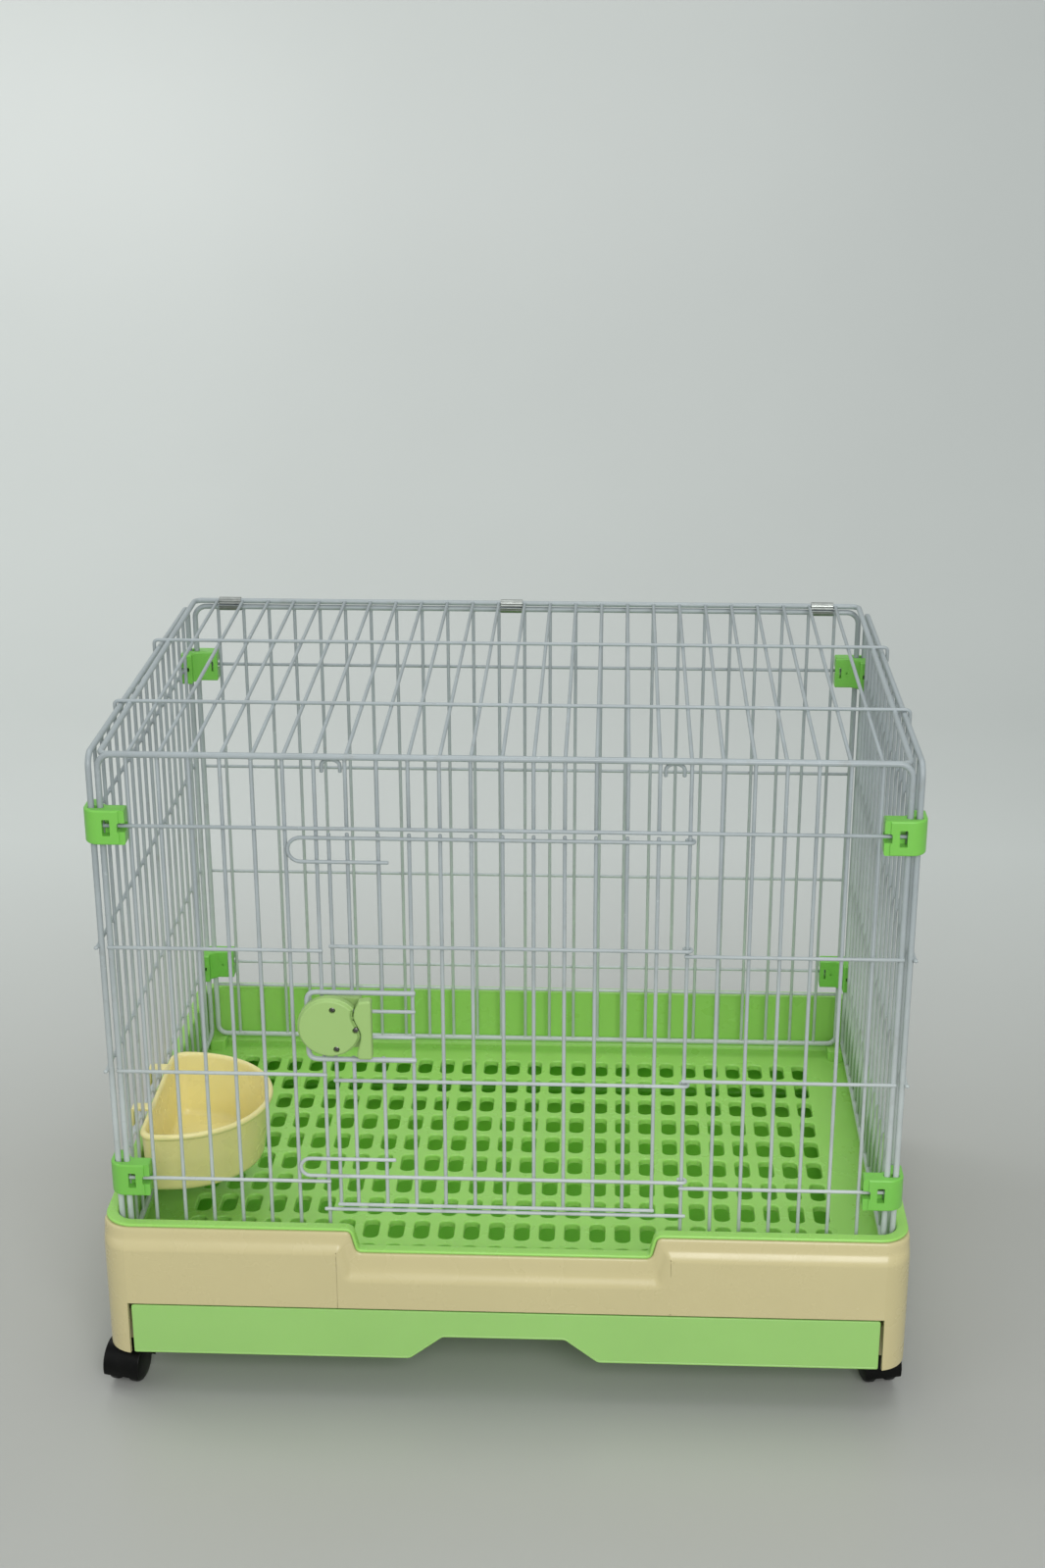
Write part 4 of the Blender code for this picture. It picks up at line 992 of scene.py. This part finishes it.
# ---------------------------------------------------------------- clips
def corner_clip(name, node, sx, sy):
    """A moulded wrap round the two corner wires, with a window and a thin flange on its face."""
    low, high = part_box(node)
    z = (low.z + high.z) / 2
    tall = (high.z - low.z) / 2
    outer_x, end_x = sorted((abs(low.x), abs(high.x)), reverse=True)
    outer_y, end_y = sorted((abs(low.y), abs(high.y)), reverse=True)
    inner_x, inner_y = outer_x - CLIP_LEG[0], outer_y - CLIP_LEG[1]
    corner = arc((outer_x - CLIP_R, outer_y - CLIP_R), CLIP_R, 0, pi / 2, 12)
    outline = [(inner_x, end_y), (outer_x, end_y)] + corner
    outline += [(end_x, outer_y), (end_x, inner_y), (inner_x - CLIP_CHAMFER[0], inner_y),
                (inner_x, inner_y - CLIP_CHAMFER[1])]

    def place(a, b, c):
        return (sx * a, sy * b, z + c)

    skin = Skin()
    slab(skin, outline, -tall, tall, place, CLIP_EDGE, 4)
    clip = new_object(name, skin)

    def block(first, second):
        a, b = place(*first), place(*second)
        return box_skin([min(p, q) for p, q in zip(a, b)], [max(p, q) for p, q in zip(a, b)])

    def prism(low_corner, high_corner, half_z, radius):
        a0, b0 = low_corner
        a1, b1 = high_corner
        tool = Skin()
        rim = rounded_outline_at(a0, a1, -half_z, half_z, radius)
        tool.loft([[place(a, b, c) for a, c in rim] for b in (b0, b1)])
        return tool

    slot = THIN + GAP
    past = 0.004
    channel = Skin()
    post_in = CAGE_HALF_X - THICK - GAP
    post_out = SIDE_X + THICK + GAP
    post_y = (CAGE_HALF_Y - THICK - GAP, CAGE_HALF_Y + THICK + GAP)
    channel.loft([[place(a, b, c) for a, b in rounded_outline_at(post_in, post_out, *post_y, 0.002)]
                  for c in (-tall - past, tall + past)])
    flange = end_x + CLIP_FLANGE
    tools = [
        channel,
        block((end_x - past, post_y[0], -slot), (CAGE_HALF_X, CAGE_HALF_Y + LAYER + slot, slot)),
        block((SIDE_X - past / 2, end_y - past, -slot), (SIDE_X + LAYER + slot, CAGE_HALF_Y, slot)),
        prism((CLIP_WINDOW[0], CAGE_HALF_Y + THIN / 2), (CLIP_WINDOW[1], outer_y + past),
              CLIP_WINDOW[2], 0.0006),
        prism((CLIP_SLIT[0], inner_y - past), (CLIP_SLIT[1], CAGE_HALF_Y), CLIP_SLIT[2], 0.0004),
        prism((CLIP_HOLE[0], inner_y - past), (CLIP_HOLE[1], inner_y + 0.0015), CLIP_HOLE[2], 0.0006),
        block((end_x - past, outer_y - CLIP_STEP, -tall - past), (flange, outer_y + past, tall + past)),
        prism((end_x - past, CAGE_HALF_Y), (flange + 0.0012, outer_y + past), 2 * slot, 0.0008),
    ]
    cut(clip, tools)
    dress(clip, CLIP_GREEN, "cage", [node], crease=50)


def lid_clip(name, node):
    """A folded plated band round the back panel's top wire and the lid's rear wire."""
    low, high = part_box(node)
    x = (low.x + high.x) / 2
    half = (high.x - low.x) / 2
    below, above = (CAGE_HALF_Y, TOP_Z), (LID_AXIS.y, LID_AXIS.z)
    middle_y, middle = (below[0] + above[0]) / 2, (below[1] + above[1]) / 2
    radius = (BAND_IN + BAND_OUT) / 2
    thick = (BAND_OUT - BAND_IN) / 2
    lip = middle_y - radius - BAND_LIP
    path = [(lip, middle + BAND_SLIT), (middle_y - radius, middle + 2 * BAND_SLIT)]
    path += arc(above, radius, pi, 0, 14) + arc(below, radius, 0, -pi, 14)
    path += [(middle_y - radius, middle - 2 * BAND_SLIT), (lip, middle - BAND_SLIT)]
    section = rounded_outline(half, thick, thick * 0.8, 2)
    rings = []
    for i, point in enumerate(path):
        ahead = Vector(path[min(i + 1, len(path) - 1)]) - Vector(path[max(i - 1, 0)])
        out = Vector((-ahead.y, ahead.x)).normalized()
        rings.append([(x + a, point[0] + out.x * b, point[1] + out.y * b) for a, b in section])
    skin = Skin()
    skin.loft(rings)
    dress(new_object(name, skin), STEEL, "cage", [node])


# ---------------------------------------------------------------- base and tray
def s_path(outer, high, low, big, small, lean):
    """The S from a high edge down into the notch, as (x, z, normal x, normal z) going inwards."""
    drop = (big + small) * (1 - cos(lean))
    run = (high - low - drop) / sin(lean)
    inner = outer - (big + small) * sin(lean) - run * cos(lean)
    path = []
    for step in range(S_STEPS + 1):
        a = lean * step / S_STEPS
        path.append((outer - big * sin(a), high - big + big * cos(a), -sin(a), cos(a)))
    for step in range(S_STEPS + 1):
        a = lean * (1 - step / S_STEPS)
        path.append((inner + small * sin(a), low + small - small * cos(a), -sin(a), cos(a)))
    return path


def front_stations(limit, spacing=0.020):
    """Stations along the front from left to right: (x, side, place).

    A place is "high" beside the notch, "low" in it, or a point's number on the S between them.
    """
    stations = []
    x = S_CLEAR
    while x < limit:
        stations.append((x, 1, "high"))
        x += spacing
    right = [(0.0, 1, "low")] + [(x * S_LOW_X / 4, 1, "low") for x in (1, 2, 3)]
    right += [(0.0, 1, k) for k in range(2 * S_STEPS + 1, -1, -1)] + stations
    left = [(-x, -1, k) for x, _, k in right[::-1][:-1]]
    return left + right


def columns_round(centre, stations, corner_steps=10, extra=()):
    """Columns round a rounded rectangle: (corner centre x, y, unit outward x, y, station)."""
    cx, cy = centre
    columns = [(station[0], -cy, 0.0, -1.0, station) for station in stations]
    for sx, sy, start in ((1, -1, -pi / 2), (1, 1, 0), (-1, 1, pi / 2), (-1, -1, pi)):
        angles = [pi / 2 * k / corner_steps for k in range(corner_steps + 1)]
        if sy < 0:
            near_front = [a if sx > 0 else pi / 2 - a for a in extra]
            angles = sorted(set(angles) | set(near_front))
        for a in angles:
            turn = start + a
            columns.append((sx * cx, sy * cy, cos(turn), sin(turn), (0.0, sx, "high")))
    return columns


def on_front(column, path, high, low, below=0.0):
    """X and Z of a line that follows an S path, a little below it, at one column."""
    side, place = column[-1][1:]
    if place == "high":
        return None, high - below
    if place == "low":
        return None, low - below
    px, pz, nx, nz = path[place]
    return side * (px - nx * below), pz - nz * below


def skin_round(skin, columns, radius, rows_at):
    """Skin a closed profile carried round the columns. rows_at(column) gives (dx, dy, (x, z))."""
    rings = []
    for column in columns:
        cx, cy, ux, uy, _ = column
        ring = []
        for dx, dy, (x, z) in rows_at(column):
            across = cx + ux * (radius - dx) if x is None else x
            ring.append((across, cy + uy * (radius - dy), z))
        rings.append(ring)
    skin.loft(rings, ring_of_rings=True)


def base():
    """The skirt with its notched front and mouth, the drawer's two rails and the casters' sockets."""
    radius = BASE_HALF_X - BASE_CENTRE[0]
    edge_angle = asin((MOUTH_X - BASE_CENTRE[0]) / radius)
    extra = (edge_angle, edge_angle + radians(1.0))
    columns = columns_round(BASE_CENTRE, front_stations(BASE_CENTRE[0]), 12, extra)

    def rows(column):
        cx, _, ux, uy, (_, _, place) = column
        in_mouth = uy < 0 and (place != "high" or abs(cx + ux * radius) < MOUTH_X + 0.0001)
        foot_z = MOUTH_Z if in_mouth else LEG_Z

        def top(below):
            drop = RIM_DROP + below if isinstance(place, int) else below
            return on_front(column, RIM_PATH, BASE_TOP, NOTCH_Z - RIM_DROP, drop)

        def bend(below):
            return on_front(column, SHOULDER_PATH, SHOULDER_Z, NOTCH_SHOULDER_Z, below)

        def slope(t):
            (x0, z0), (x1, z1) = bend(0), top(0)
            return None if x0 is None else x0 * (1 - t) + x1 * t, z0 * (1 - t) + z1 * t

        def foot(up):
            return bend(0.004)[0], foot_z + up

        lines = {"foot": foot, "bend": bend, "slope": slope, "top": top}
        return [(dx, dy, lines[line](amount)) for line, dx, dy, amount in BASE_SECTION]

    skin = Skin()
    skin_round(skin, columns, radius, rows)
    wall = BASE_HALF_X - 0.0015
    for side in (-1, 1):
        rail = [(side * a, b) for a, b in ((RAIL_X, RAIL_Y[0]), (wall, RAIL_Y[0]), (wall, RAIL_Y[1]),
                                           (RAIL_X, RAIL_Y[1]))]
        slab(skin, rail[::side], *RAIL_Z, flat_map, 0.0004, 2)
        for end in (-1, 1):
            stem_socket(skin, side, end, wall)
    dress(new_object("base_moulding", skin), CREAM, "cage", ["base_frame"], crease=32)


def stem_socket(skin, side, end, wall):
    """The thick corner under the base that takes a caster's stem."""
    outer = rounded_outline_at(MOUTH_X, wall, 0.168, BASE_HALF_Y - 0.020, 0.0015)
    bore = []
    for turn in [atan2(b - STEM[1], a - STEM[0]) for a, b in outer]:
        bore.append((STEM[0] + STEM_BORE * cos(turn), STEM[1] + STEM_BORE * sin(turn)))
    low, high = LEG_Z + 0.0002, 0.062
    skin.loft([[(side * a, end * b, z) for a, b in ring]
               for ring, z in ((outer, low), (outer, high), (bore, high), (bore, low))], ring_of_rings=True)


def floor_tray():
    """The basin with its rim, its slotted floor and a pad under each corner post."""
    columns = columns_round(TRAY_CENTRE, front_stations(TRAY_CENTRE[0]), 12)

    def rows(column):
        inside, outside = RIM_R - TRAY_IN, RIM_R - TRAY_OUT

        def at(below):
            return on_front(column, RIM_PATH, RIM_Z, NOTCH_Z, below)

        def floor(up):
            return at(0)[0], FLOOR_Z + up

        profile = [(inside + 0.0040, floor(-0.0004)), (inside + 0.0024, floor(0.0002)),
                   (inside + 0.0012, floor(0.0008)), (inside + 0.0003, floor(0.0022)),
                   (inside, floor(0.0040)), (inside, at(0.0016)), (inside - 0.0003, at(0.0007)),
                   (inside - 0.0010, at(0.0002)), (inside - 0.0020, at(0)), (0.0013, at(0)),
                   (0.0006, at(0.0002)), (0.0002, at(0.0006)), (0.0, at(0.00125)),
                   (0.0002, at(0.0019)), (0.0006, at(0.0023)), (0.0012, at(SHELL)),
                   (outside - 0.0006, at(SHELL)), (outside, at(SHELL + 0.0006)), (outside, floor(0)),
                   (outside + 0.0003, floor(-0.0013)), (outside + 0.0012, floor(-0.0022)),
                   (outside + 0.0025, floor(-SHELL)), (inside + 0.0040, floor(-SHELL))]
        return [(inset, inset, z) for inset, z in profile]

    skin = Skin()
    skin_round(skin, columns, RIM_R, rows)
    floor_plate(skin)
    for sx in (-1, 1):
        for sy in (-1, 1):
            pad = [(sx * a, sy * b) for a, b in rounded_outline_at(*PAD, 0.003)]
            slab(skin, pad[::sx * sy], FLOOR_Z - 0.001, FOOT_Z - THICK - GAP, flat_map, 0.0008, 3)
    thing = new_object("tray_moulding", skin, merge=True)
    dress(thing, GREEN, "cage", ["floor_tray"], crease=45)


def slot_place(column, row):
    """The middle of one slot of the floor."""
    return ((column - (SLOT_COLUMNS - 1) / 2) * SLOT_PITCH[0], (row - (SLOT_ROWS - 1) / 2) * SLOT_PITCH[1])


def floor_plate(skin):
    """The slotted floor: one cell round each slot, and a plain border out to the walls."""
    cell = (SLOT_PITCH[0] / 2, SLOT_PITCH[1] / 2)
    edge_points = []
    for quarter, (sx, sy) in enumerate(((1, 1), (-1, 1), (-1, -1), (1, -1))):
        for k in range(SLOT_STEPS + 1):
            along = k / SLOT_STEPS if quarter % 2 == 0 else 1 - k / SLOT_STEPS
            if along <= 0.5:
                edge_points.append((sx * cell[0], sy * (cell[1] - CELL_R + CELL_R * along * 2)))
            else:
                edge_points.append((sx * (cell[0] - CELL_R * (along - 0.5) * 2), sy * cell[1]))

    def slot_ring(grow):
        return rounded_outline(SLOT_HALF[0] + grow, SLOT_HALF[1] + grow, SLOT_R + grow, SLOT_STEPS)

    bends = [pi / 2 * step / 4 for step in range(5)]
    levels = [(edge_points, FLOOR_Z)]
    levels += [(slot_ring(SLOT_EDGE * (1 - sin(t))), FLOOR_Z - SLOT_EDGE * (1 - cos(t))) for t in bends]
    levels += [(slot_ring(-0.0002), FLOOR_Z - SLOT_DEPTH), (slot_ring(0.0012), FLOOR_Z - SLOT_DEPTH),
               (slot_ring(0.0014), FLOOR_Z - SHELL), (edge_points, FLOOR_Z - SHELL)]
    count = len(edge_points)
    faces = []
    for r in range(len(levels) - 1):
        for i in range(count):
            j = (i + 1) % count
            faces.append((r * count + j, r * count + i, (r + 1) * count + i, (r + 1) * count + j))
    for column in range(SLOT_COLUMNS):
        for row in range(SLOT_ROWS):
            x, y = slot_place(column, row)
            skin.add([(x + a, y + b, z) for ring, z in levels for a, b in ring], faces)
    floor_border(skin, cell, edge_points)


def floor_border(skin, cell, edge_points):
    """The plain floor between the outermost cells and the walls, closed along its outside."""
    half_x = cell[0] * SLOT_COLUMNS
    half_y = cell[1] * SLOT_ROWS
    ys = sorted({round(b, 7) for a, b in edge_points if abs(a - cell[0]) < 1e-9})
    xs = sorted({round(a, 7) for a, b in edge_points if abs(b - cell[1]) < 1e-9})
    all_y = sorted({round(slot_place(0, row)[1] + b, 6) for row in range(SLOT_ROWS) for b in ys})
    all_x = sorted({round(slot_place(column, 0)[0] + a, 6) for column in range(SLOT_COLUMNS) for a in xs})
    out_x = TRAY_CENTRE[0] + TRAY_IN - 0.0030
    out_y = TRAY_CENTRE[1] + TRAY_IN - 0.0030
    spans_y, spans_x = list(zip(all_y, all_y[1:])), list(zip(all_x, all_x[1:]))
    quad = [(0, 1, 2, 3)]
    rim = []
    for z in (FLOOR_Z, FLOOR_Z - SHELL):
        for side in (-1, 1):
            rim += [((side * out_x, a), (side * out_x, b)) for a, b in spans_y]
            rim += [((a, side * out_y), (b, side * out_y)) for a, b in spans_x]
            for a, b in spans_y:
                skin.add([(side * half_x, a, z), (side * out_x, a, z), (side * out_x, b, z),
                          (side * half_x, b, z)], quad)
            for a, b in spans_x:
                skin.add([(a, side * half_y, z), (b, side * half_y, z), (b, side * out_y, z),
                          (a, side * out_y, z)], quad)
            for end in (-1, 1):
                corner = [(side * half_x, end * half_y), (side * out_x, end * half_y),
                          (side * (out_x - 0.0002), end * (out_y - 0.0040)),
                          (side * (out_x - 0.0040), end * (out_y - 0.0002)), (side * half_x, end * out_y)]
                skin.add([(a, b, z) for a, b in corner], [tuple(range(5))])
                rim += list(zip(corner[1:], corner[2:]))
    for first, last in rim[:len(rim) // 2]:
        skin.add([(*first, FLOOR_Z), (*last, FLOOR_Z), (*last, FLOOR_Z - SHELL), (*first, FLOOR_Z - SHELL)],
                 quad)


# ---------------------------------------------------------------- drawer
def drawer():
    """The pan with its flange, and the front plate with the hand cut-out and its rolled lower edge."""
    base_z = DRAWER_LOW.z + 0.005
    back, front = PAN_Y
    middle, half_y = (back + front) / 2, (back - front) / 2
    skin = Skin()
    rings = []
    for half_x, grow, line, up, forward in PAN_ROWS:
        z = {"base": base_z, "under": PAN_UNDER, "top": PAN_TOP}[line] + up
        outline = rounded_outline(half_x, half_y + grow + forward / 2, PAN_R, 6)
        rings.append([(x, y + middle - forward / 2, z) for x, y in outline])
    skin.loft(rings)
    bottom = DRAWER_LOW.z
    path = [(-PLATE_X, bottom), (-HAND_X[0], bottom), (-HAND_X[1], HAND_Z), (HAND_X[1], HAND_Z),
            (HAND_X[0], bottom), (PLATE_X, bottom), (PLATE_X, PLATE_TOP), (-PLATE_X, PLATE_TOP)]
    outline = []
    for i, (a, b) in enumerate(path):
        before, after = path[i - 1], path[(i + 1) % len(path)]
        rounded = fillet([(before[0], 0, before[1]), (a, 0, b), (after[0], 0, after[1])], PLATE_RADII[i], 5)
        outline += [(p.x, p.z) for p in rounded[1:-1]]
    slab(skin, outline, -BASE_HALF_Y + SHELL, -BASE_HALF_Y + 0.0003, upright_map, 0.0008, 4)
    lower = [(p[0], -BASE_HALF_Y + 0.0011, p[1] + 0.0012) for p in path[:6]]
    lower[0] = (lower[0][0] + 0.002, *lower[0][1:])
    lower[-1] = (lower[-1][0] - 0.002, *lower[-1][1:])
    tube(skin, fillet(lower, 0.0065, 8), 0.0012, 12)
    dress(new_object("drawer_moulding", skin), DRAWER_GREEN, "drawer", ["drawer"])


# ---------------------------------------------------------------- bowl
def food_bowl():
    """A D-shaped bowl with a rolled rim, two tabs over the cage's wire and two small feet."""
    back_x = BOWL_LOW.x + BOWL_BACK
    centre_y = (BOWL_HIGH.y + BOWL_LOW.y) / 2
    half_width = (BOWL_HIGH.y - BOWL_LOW.y) / 2
    depth = BOWL_HIGH.x - back_x
    foot_z, rim_z = BOWL_LOW.z, BOWL_HIGH.z

    def ring(inset, shift, z, steps=40):
        """A D: flat towards the cage wall with rounded corners, a half ellipse inside."""
        corner = max(0.004, BOWL_CORNER - inset * 0.3)
        width, reach = half_width - inset, depth - inset - shift
        points = []
        for step in range(steps + 1):
            a = -pi / 2 + pi * step / steps
            points.append((back_x + shift + corner + (reach - corner) * max(0.0, cos(a)) ** 0.92,
                           centre_y + width * sin(a), z))
        for half, bends in ((1, range(1, 9)), (-1, range(8, 0, -1))):
            for a in [pi / 2 * step / 8 for step in bends]:
                points.append((back_x + shift + corner * (1 - sin(a)),
                               centre_y + half * (width - corner * (1 - cos(a))), z))
        return points

    rows = [(inset, shift, foot_z + up) for inset, shift, up in BOWL_OUTSIDE]
    rows += [(inset, shift, rim_z - down) for inset, shift, down in BOWL_RIM]
    rows += [(inset, shift, foot_z + up) for inset, shift, up in BOWL_INSIDE]
    skin = Skin()
    skin.loft([ring(*row) for row in rows])
    hook_x, row_z = BOWL_LOW.x, CLIP_ROWS[1]
    under = row_z + THIN + GAP
    top = rim_z - 0.0001
    for place in BOWL_TAB_ROWS:
        y = place * SIDE_PITCH
        outline = [(back_x + 0.003, top), (hook_x + 0.0012, top), (hook_x + 0.0003, top - 0.0009),
                   (hook_x, top - 0.0022), (hook_x + 0.0002, row_z - 0.0110),
                   (hook_x + 0.0012, row_z - 0.0119), (hook_x + 0.0022, row_z - 0.0110),
                   (hook_x + 0.0025, under - 0.0008), (hook_x + 0.0034, under), (back_x + 0.003, under)]
        slab(skin, outline, y - BOWL_TAB, y + BOWL_TAB, upright_map, 0.0004, 2)
    for y in (centre_y - BOWL_NUB[1], centre_y + BOWL_NUB[1]):
        nub = [(back_x + BOWL_NUB[0] + BOWL_NUB[2] * cos(t), y + BOWL_NUB[2] * sin(t)) for t in turns(16)]
        slab(skin, nub, foot_z + 0.001, foot_z - 0.0020, flat_map, 0.0008, 3)
    dress(new_object("feeding_bowl", skin), BOWL_YELLOW, "bowl", ["food_bowl"], crease=50)


# ---------------------------------------------------------------- casters
def caster(label):
    """A caster's hood with its web and stem, the pin and the two wheels."""
    body = f"caster_{label}"
    stem = Vector(JOINTS[f"swivel_{label}"]["pos_m"])
    wheel_joint = JOINTS[f"wheel_spin_{label}_a"]
    hub = Vector(wheel_joint["pos_m"])
    axis = Vector(wheel_joint["axis"]).normalized()
    trail = Vector((hub.x - stem.x, hub.y - stem.y, 0))
    reach, wheel_r = trail.length, hub.z
    local = Matrix((trail.normalized(), axis, Vector((0, 0, 1)))).transposed().to_4x4()
    local.translation = (stem.x, stem.y, 0)
    if local.to_3x3().determinant() < 0:
        local = local @ Matrix.Diagonal((1, -1, 1, 1))

    def hood_ring(y, inset, thick):
        radius = HOOD_R - inset
        start, end = HOOD_ARC
        outline = arc((reach, wheel_r), radius, start, end, 22)
        outline += arc((reach, wheel_r), radius - thick, end, start, 22)
        return [local @ Vector((a, y, b)) for a, b in outline]

    skin = Skin()
    sides = [(-HOOD_HALF + back, inset, thick) for back, inset, thick in HOOD_EDGE]
    sides += [(HOOD_HALF - back, inset, thick) for back, inset, thick in HOOD_EDGE[::-1]]
    skin.loft([hood_ring(*row) for row in sides])
    web = arc((reach, wheel_r), HOOD_R - 0.0006, radians(-14), radians(194), 24)
    slab(skin, web, -WEB_HALF, WEB_HALF, lambda a, b, c: local @ Vector((a, c, b)), 0.0005, 2)
    spin(skin, POST, local, 32)
    hood = new_object(f"caster_housing_{label}", skin)
    cut(hood, [rod_skin(0.0023, *[local @ Vector((reach, y, wheel_r)) for y in (-0.02, 0.02)])])
    dress(hood, BLACK, body, [f"caster_hood_{label}"])

    pin = Skin()
    ends = [local @ Vector((reach, side * PIN_HALF, wheel_r)) for side in (-1, 1)]
    tube(pin, [ends[0], (ends[0] + ends[1]) / 2, ends[1]], 0.0020, 20)
    pin = new_object(f"caster_pin_{label}", pin)
    dress(pin, SCREW_STEEL, body, [f"caster_axle_{label}"], weighted=False)

    for name in ("a", "b"):
        low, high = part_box(f"caster_wheel_{label}_{name}")
        side = 1 if ((low + high) / 2 - hub).dot(axis) > 0 else -1
        caster_wheel(label, name, hub, axis * side, wheel_r)


def caster_wheel(label, name, hub, outward, r):
    """A moulded wheel: a tread rounded into a plain domed face that closes over the pin's end."""
    turned = outward.to_track_quat("Z", "Y").to_matrix().to_4x4()
    turned.translation = hub
    near, far = WHEEL_SPAN
    profile = [(WHEEL_BORE, near), (r - 0.0012, near), (r - 0.0004, near + 0.0003), (r, near + 0.0012)]
    profile += [(r - inset, far - down) for inset, down in WHEEL_FACE]
    profile += [(0.0040, far), (0.0, far), (0.0, far - WHEEL_CAP), (WHEEL_BORE, far - WHEEL_CAP)]
    skin = Skin()
    lathe(skin, profile, turned, 48)
    wheel = new_object(f"rolling_wheel_{label}_{name}", skin, merge=True)
    dress(wheel, BLACK, f"wheel_{label}_{name}", [f"caster_wheel_{label}_{name}"])


# ---------------------------------------------------------------- build the pieces
RIM_PATH = s_path(0.1180, RIM_Z, NOTCH_Z, 0.0070, 0.0026, radians(76))
SHOULDER_PATH = s_path(0.1245, SHOULDER_Z, NOTCH_SHOULDER_Z, 0.0032, 0.0032, radians(74))
base()
floor_tray()
drawer()
front_panel()
back_panel()
side_panel("left_panel", -1)
side_panel("right_panel", 1)
lid()
door()
latch()
food_bowl()
for place_name in ("left", "middle", "right"):
    lid_clip(f"lid_band_{place_name}", f"lid_clip_{place_name}")
for corner_name, (corner_x, corner_y) in (("front_left", (-1, -1)), ("front_right", (1, -1)),
                                          ("rear_left", (-1, 1)), ("rear_right", (1, 1))):
    for height in ("upper", "lower"):
        corner_clip(f"corner_wrap_{corner_name}_{height}", f"corner_clip_{corner_name}_{height}",
                    corner_x, corner_y)
    caster(corner_name)


# ---------------------------------------------------------------- studio
FLOOR_PAPER = (0.43, 0.435, 0.408)
# the wall's colour is painted light: lighter than the floor's, so that the sheet brightens towards the back
PAINTED_LIT_WALL_PAPER = (0.615, 0.642, 0.618)
SWEEP, WALL_Y, SHEET_REACH = 1.2, 2.6, 5.0
MIDDLE = (0, 0, 0.25)
LIGHTS = (                           # name, place, target, size, power
    ("key", (0.5, -2.5, 1.6), MIDDLE, (1.6, 1.2), 44),
    ("fill", (-2.2, -1.4, 1.3), MIDDLE, (1.6, 1.6), 7),
    ("top", (0.1, 0.2, 2.6), (0, 0.1, 0.2), (2.0, 1.6), 19),
    ("wall", (-1.7, 0.9, 2.1), (-1.5, 2.4, 0.6), (1.8, 1.0), 20))


def backdrop():
    """A seamless sheet: pale floor that sweeps up into the wall behind, with painted light that makes it
    lighter towards the back.
    """
    skin = Skin()
    bend_y = WALL_Y - SWEEP
    profile = [(-SHEET_REACH, 0.0), (0.0, 0.0), (bend_y, 0.0)]
    for angle in [pi / 2 * k / 24 for k in range(1, 25)]:
        profile.append((bend_y + SWEEP * sin(angle), SWEEP - SWEEP * cos(angle)))
    profile.append((WALL_Y, SHEET_REACH))
    points = [(x, y, z) for y, z in profile for x in (-SHEET_REACH, SHEET_REACH)]
    faces = [(2 * i, 2 * i + 1, 2 * i + 3, 2 * i + 2) for i in range(len(profile) - 1)]
    skin.add(points, faces)
    sheet = new_object("studio_sheet", skin)
    sheet.data.shade_smooth()
    nodes = Nodes("studio_paper")
    cloud = nodes.spread(nodes.noise(1.2, 4), 0, 1, 0.3, 0.7)
    # painted light: the paper turns from the floor's colour to the lighter wall's colour along Y
    back = nodes.spread(nodes.along("Y"), 0, 1, *PAINTED_LIGHT_BLEND)
    paper = [nodes.mix(cloud, shade(c, 0.98), shade(c, 1.02)) for c in (FLOOR_PAPER, PAINTED_LIT_WALL_PAPER)]
    nodes.drive("Base Color", nodes.mix(back, *paper))
    nodes.set(Roughness=0.36, Specular_IOR_Level=0.5)
    sheet.data.materials.append(nodes.material)


def area_light(name, place, target, size, power):
    data = bpy.data.lights.new(name, "AREA")
    data.shape = "RECTANGLE"
    data.size, data.size_y = size
    data.energy = power
    thing = bpy.data.objects.new(name, data)
    thing.location = place
    thing.rotation_euler = (Vector(target) - Vector(place)).to_track_quat("-Z", "Y").to_euler()
    bpy.context.scene.collection.objects.link(thing)


def lights():
    for light in LIGHTS:
        area_light(*light)
    world = bpy.data.worlds.new("studio")
    world.use_nodes = True
    sky = world.node_tree.nodes["Background"].inputs
    sky["Color"].default_value = (0.93, 0.98, 1.0, 1)
    sky["Strength"].default_value = 0.42
    bpy.context.scene.world = world


def camera():
    data = bpy.data.cameras.new("camera")
    data.lens = 50
    data.sensor_width = 36
    thing = bpy.data.objects.new("camera", data)
    thing.location = (0.075935, -1.598916, 1.027010)
    thing.rotation_euler = (radians(69.33917), radians(0.12325), radians(2.45665))
    bpy.context.scene.collection.objects.link(thing)
    bpy.context.scene.camera = thing


backdrop()
lights()
camera()
bpy.context.scene.view_settings.view_transform = "Standard"
